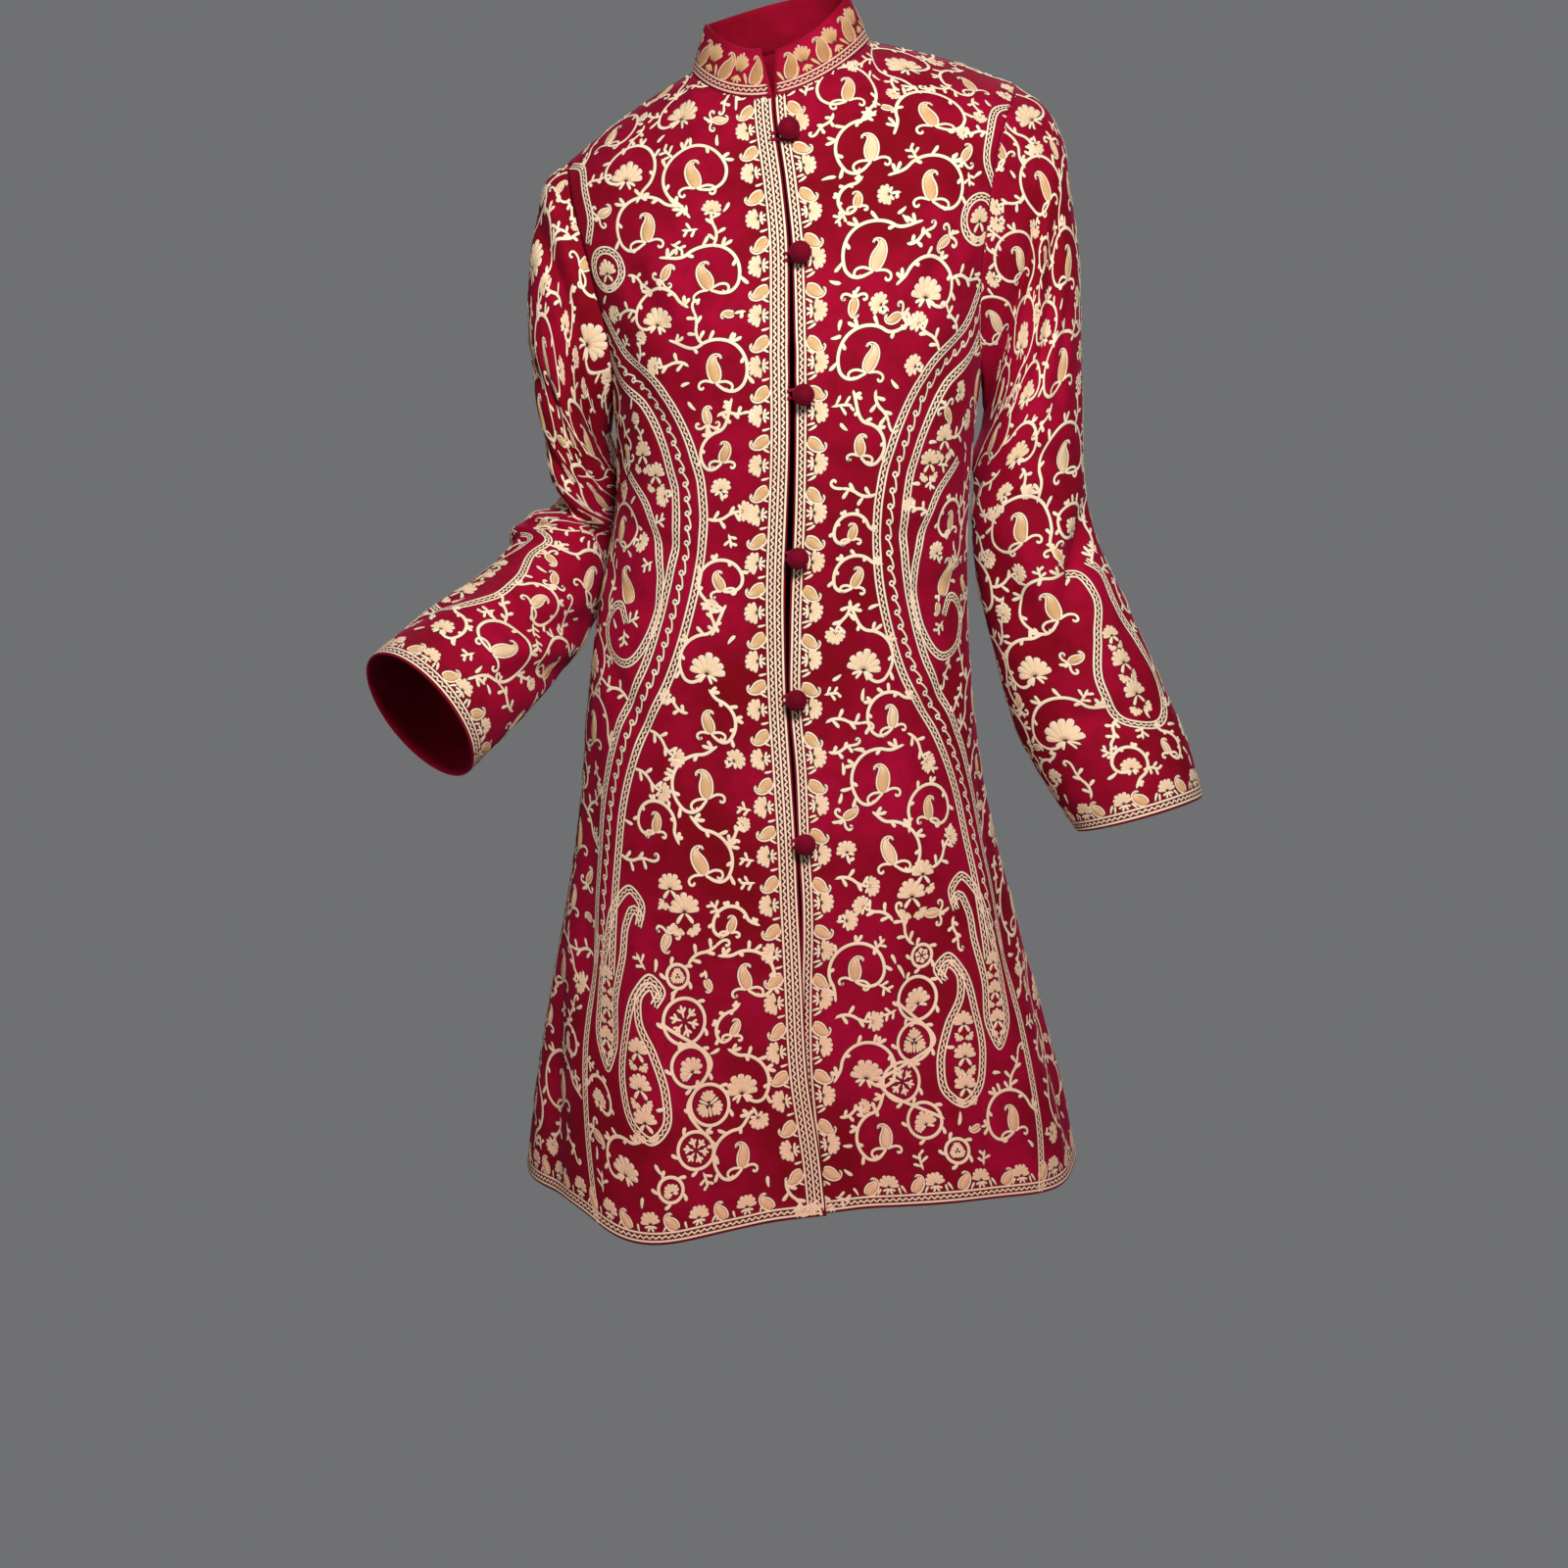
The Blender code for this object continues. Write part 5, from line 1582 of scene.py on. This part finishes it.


# Painted shade: the dark colour laid in the low places of the stitch relief, between the chain links and at
# the sides of each row.
LINK_DIP_SHADE = (0.30, 0.06, 0.03)
# Painted shadow: the near-black colour of the strip beside each thread, for the shadow that the raised thread
# casts on the cloth.
PAINTED_EDGE_SHADOW = (0.016, 0.001, 0.003)


def thread_material(name, tones, hem_light_tint):
    """Chain-stitched woollen thread. tones are the line's, the light fill's and the gold fill's colours.

    The last argument is painted light: the salmon colour that the thread takes on towards the hem, for the
    warmer light on the lower skirt.
    """
    n = Nodes(name)
    place = n.place()
    line, light, gold = tones
    stitch = n.split(n.node("ShaderNodeUVMap", 0, uv_map="thread"))
    rim = n.split(n.node("ShaderNodeUVMap", 0, uv_map="rim"))
    row = n.math("FRACT", stitch[1])
    off_middle = n.math("ABSOLUTE", n.math("SUBTRACT", n.times(row, 2.0), 1.0))
    bow = n.math("SUBTRACT", 1.0, n.math("POWER", off_middle, 2.0))
    shift = n.times(n.math("FLOOR", stitch[1]), 0.37)
    link = n.math("FRACT", n.math("ADD", n.math("SUBTRACT", stitch[0], n.times(bow, 0.38)), shift))
    loop = n.math("SINE", n.times(link, math.pi))
    relief = n.times(bow, n.remap(loop, 0.0, 0.75, 0.35, 1.0))
    tone = n.mix(n.remap(rim[1], 0.0, 0.34), line, light)
    tone = n.mix(n.remap(rim[1], 0.4, 1.0), tone, gold)
    tone = n.mix(n.times(n.remap(n.noise(place, 28.0), 0.45, 0.75), 0.28), tone, gold)
    # Painted light: lower down, the thread turns towards the salmon tint of the light on the lower skirt.
    tone = n.mix(n.times(n.remap(n.split(place)[2], -0.45, -0.95), 0.55), tone, hem_light_tint)
    # Painted shade where the stitch relief is low: between the links and at the row sides.
    tone = n.mix(n.times(n.remap(relief, 0.45, 0.0), 0.45), tone, LINK_DIP_SHADE)
    # Painted shadow: the strip beside each thread turns near black.
    tone = n.mix(n.remap(rim[0], 0.82, 0.60), tone, PAINTED_EDGE_SHADOW)
    fibre = n.noise(place, 1500.0, 2.0)
    normal = n.bump(n.math("ADD", relief, n.times(fibre, 0.25)), 0.00035, 0.8)
    n.set(Base_Color=tone, Roughness=0.72, Normal=normal, Specular_IOR_Level=0.3)
    n.set(Sheen_Weight=0.10, Sheen_Roughness=0.5, Sheen_Tint=(1.0, 0.9, 0.8, 1.0))
    return n.material


def button_object(name, point, normal, material):
    """A cloth-covered ball on a gathered ring and a short shank."""
    sides = 48
    across = unit(np.cross(normal, [0.0, 0.0, 1.0]))
    upright = np.cross(across, normal)
    start = SEAM + 0.0002
    lift = start + 2 * LOOP_CORD_RADIUS + 0.0014
    centre = lift + BUTTON_RADIUS * 0.96
    profile = [(0.0004, start), (SHANK_RADIUS, start), (SHANK_RADIUS, lift - 0.0004)]
    ring_middle, ring = lift + 0.0012, 0.0015
    for degrees in range(200, -60, -26):
        angle = math.radians(degrees)
        profile.append((BUTTON_RADIUS * 0.70 + ring * math.cos(angle), ring_middle + ring * math.sin(-angle)))
    for i in range(22):
        angle = math.radians(-48.0 + 137.0 * i / 21)
        profile.append((BUTTON_RADIUS * math.cos(angle), centre + BUTTON_RADIUS * math.sin(angle)))
    vertices = []
    for r, (radius, height) in enumerate(profile):
        for s in range(sides):
            a = 2 * math.pi * s / sides
            gather = 0.0
            if 3 <= r < 13:
                gather = 0.0007 * math.cos(12 * a)
            elif r >= 13:
                gather = 0.00022 * math.cos(12 * a + 0.6) * math.exp(-((r - 13) / 6.0) ** 2)
                gather += 0.00010 * math.sin(5 * a + r) * math.sin(0.6 * r)
            reach = max(radius + gather, 0.0002)
            vertices.append(point + normal * height + reach * (math.cos(a) * across + math.sin(a) * upright))
    ends = (point + normal * start, point + normal * (centre + BUTTON_RADIUS))
    return round_solid(name, vertices, sides, ends, material)


def loop_object(name, point, normal, reach, material):
    """A twisted cord loop from the right front's edge round the button's shank."""
    across = unit(np.cross(normal, [0.0, 0.0, 1.0]))
    upright = np.cross(across, normal)
    if across[0] < 0:
        across, upright = -across, -upright
    turn = LOOP_TURN_RADIUS
    half = [(-reach, turn * 0.62), (-reach * 0.78, turn * 0.68), (-reach * 0.55, turn * 0.80)]
    half += [tuple(way(math.radians(118.0 - 29.5 * i), turn)) for i in range(4)]
    flat = curve(np.array(half + [(turn, 0.0)] + [(x, -z) for x, z in half[::-1]]), 0.0005)
    spots = point + across * flat[:, :1] + upright * flat[:, 1:] + normal * LOOP_LIFT
    heading = unit(np.gradient(spots, axis=0))
    side = unit(np.cross(heading[0], normal))
    length = lengths(spots)
    sides = 16
    vertices = []
    for i, spot in enumerate(spots):
        if i:
            side = carried(side, heading[i - 1], heading[i])
        other = np.cross(heading[i], side)
        for s in range(sides):
            a = 2 * math.pi * s / sides
            radius = LOOP_CORD_RADIUS * (0.90 + 0.13 * abs(math.cos(1.5 * a + length[i] * 900)))
            vertices.append(spot + radius * (math.cos(a) * side + math.sin(a) * other))
    return round_solid(name, vertices, sides, (spots[0], spots[-1]), material)


crimson = wool_material("crimson_wool", (0.16, 0.0006, 0.005), (0.31, 0.0010, 0.024), 0.11)
# The buttons' crimson is darker than the coat's: partly the cloth's own deeper colour, and partly painted
# shade for the shade that falls on them.
shade_darkened_velvet = wool_material("button_velvet", (0.10, 0.0005, 0.006), (0.17, 0.0008, 0.014), 0.22, twill=False)
cord_wool = wool_material("loop_wool", (0.20, 0.001, 0.018), (0.30, 0.002, 0.030), 0.3, twill=False)
THREADS = ((0.84, 0.64, 0.46), (0.84, 0.62, 0.38), (0.64, 0.38, 0.16))
COLLAR_THREADS = ((0.70, 0.36, 0.26), (0.55, 0.32, 0.14), (0.40, 0.20, 0.07))
# The last colour given to each thread material is the painted light tint that the thread takes on towards the
# hem.
thread = thread_material("embroidery_thread", THREADS, (0.80, 0.36, 0.24))
collar_thread = thread_material("collar_thread", COLLAR_THREADS, (0.6, 0.28, 0.2))

grids = panels()
grids = creased(grids, panel_normals(grids))
normals = panel_normals(grids)
across, down = panel_measures(grids)


made = {}
cloths = {}
for name, grid in grids.items():
    flat = flat_map(across[name], down)
    made[name] = wall_object(f"{name}_cloth", grid, grid - WALL * normals[name], flat, crimson)
    cloths[name] = Cloth(grid, normals[name], across[name], down, fall=shoulder_fall(grid, down))

# The last value is how far a bend's extra length is taken up by its folds.
for name, side, table, folds, evening in (
    ("sleeve_right", -1, RIGHT_SLEEVE, RIGHT_FOLDS, 0.75),
    ("sleeve_left", 1, LEFT_SLEEVE, LEFT_FOLDS, 0.10),
):
    outer, inner, facing = sleeve(table, folds, side, armhole_loop(grids, normals, side))
    steps = round_average(np.linalg.norm(np.diff(outer, axis=0), axis=2), outer.shape[1] // 8)
    steps += evening * (steps.mean(axis=1, keepdims=True) - steps)
    fall = np.concatenate([np.zeros((1, steps.shape[1])), np.cumsum(steps, axis=0)])
    fall += fall[-1].max() - fall[-1]
    sleeve_down = fall.mean(axis=1)
    twist = slid(outer).mean(axis=1, keepdims=True)
    sleeve_across = row_lengths(outer) + twist - twist[-1]
    flat = flat_map(sleeve_across, sleeve_down)
    made[name] = wall_object(f"{name}_cloth", outer, inner, flat, crimson, closed=True)
    cloths[name] = Cloth(outer, facing, sleeve_across, sleeve_down, closed=True, fall=fall)

outer, inner = collar_points(grids, normals)
collar_across = row_lengths(outer)[:1] + slid(outer)
collar_down = lengths(outer[:, 5])
flat = flat_map(collar_across, collar_down)
made["collar"] = wall_object("collar_cloth", outer, inner, flat, crimson)
collar_facing = grid_normals(outer)
collar_facing *= np.sign((collar_facing * (outer - inner)).sum())
cloths["collar"] = Cloth(outer, collar_facing, collar_across, collar_down)

works = {name: Work(cloth) for name, cloth in cloths.items()}
front_work(works["front_right"], -1)
front_work(works["front_left"], 1)
back_work(works["back"])
sleeve_work(works["sleeve_right"], -1)
sleeve_work(works["sleeve_left"], 1)
collar_work(works["collar"])

for name, piece in made.items():
    stitches = works[name].make(f"{name}_embroidery", collar_thread if name == "collar" else thread)
    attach(piece, "root")
    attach(stitches, "root")
    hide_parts(name)

for number, (drop, inset) in enumerate(BUTTONS, start=1):
    point, normal = front_place(grids["front_left"], normals["front_left"], drop, inset)
    ball = button_object(f"button_{number}_ball", point, normal, shade_darkened_velvet)
    cord = loop_object(f"loop_{number}_cord", point, normal, inset + LOOP_REACH, cord_wool)
    pair = ((ball, f"button_{number}", "button_cloth"), (cord, f"loop_{number}", "loop_cord"))
    for piece, node, slot in pair:
        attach(piece, "root")
        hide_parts(node)

# Light and camera.
world = bpy.data.worlds.new("studio")
bpy.context.scene.world = world
world.use_nodes = True
backdrop = world.node_tree.nodes["Background"].inputs
backdrop["Color"].default_value = (0.80, 0.81, 0.83, 1.0)
backdrop["Strength"].default_value = 0.20


def soft_light(name, place, aim, size, power):
    data = bpy.data.lights.new(name, "AREA")
    data.shape = "DISK"
    data.size = size
    data.energy = power
    lamp = bpy.data.objects.new(name, data)
    lamp.location = place
    lamp.rotation_mode = "QUATERNION"
    lamp.rotation_quaternion = (Vector(aim) - Vector(place)).to_track_quat("-Z", "Y")
    bpy.context.scene.collection.objects.link(lamp)


soft_light("key", (0.22, -1.55, 0.40), (0.02, 0.0, -0.30), 0.40, 38.0)
soft_light("fill", (-1.2, -2.3, -0.4), (0.0, 0.0, -0.8), 1.2, 7.0)
soft_light("rear", (0.4, 2.6, 1.2), (0.0, 0.0, -0.4), 1.8, 50.0)

CAMERA_ELEVATION = 9.5
CAMERA_ROLL = 1.0
CAMERA_TARGET = Vector((-0.016, 0.0, -0.635))
CAMERA_DISTANCE = 2.4
CAMERA_LENS = 61.36
camera_data = bpy.data.cameras.new("camera")
camera_data.lens = CAMERA_LENS
camera_data.sensor_width = 36.0
camera_data.clip_start = 0.05
camera = bpy.data.objects.new("camera", camera_data)
bpy.context.scene.collection.objects.link(camera)
elevation, roll = math.radians(CAMERA_ELEVATION), math.radians(CAMERA_ROLL)
back_way = Vector((0.0, -math.cos(elevation), math.sin(elevation)))
right_flat = Vector((1.0, 0.0, 0.0))
up_flat = back_way.cross(right_flat)
right = right_flat * math.cos(roll) - up_flat * math.sin(roll)
up = up_flat * math.cos(roll) + right_flat * math.sin(roll)
facing = Matrix((right, up, back_way)).transposed().to_4x4()
camera.matrix_world = Matrix.Translation(CAMERA_TARGET + back_way * CAMERA_DISTANCE) @ facing
bpy.context.scene.camera = camera

bpy.context.scene.view_settings.view_transform = "Standard"
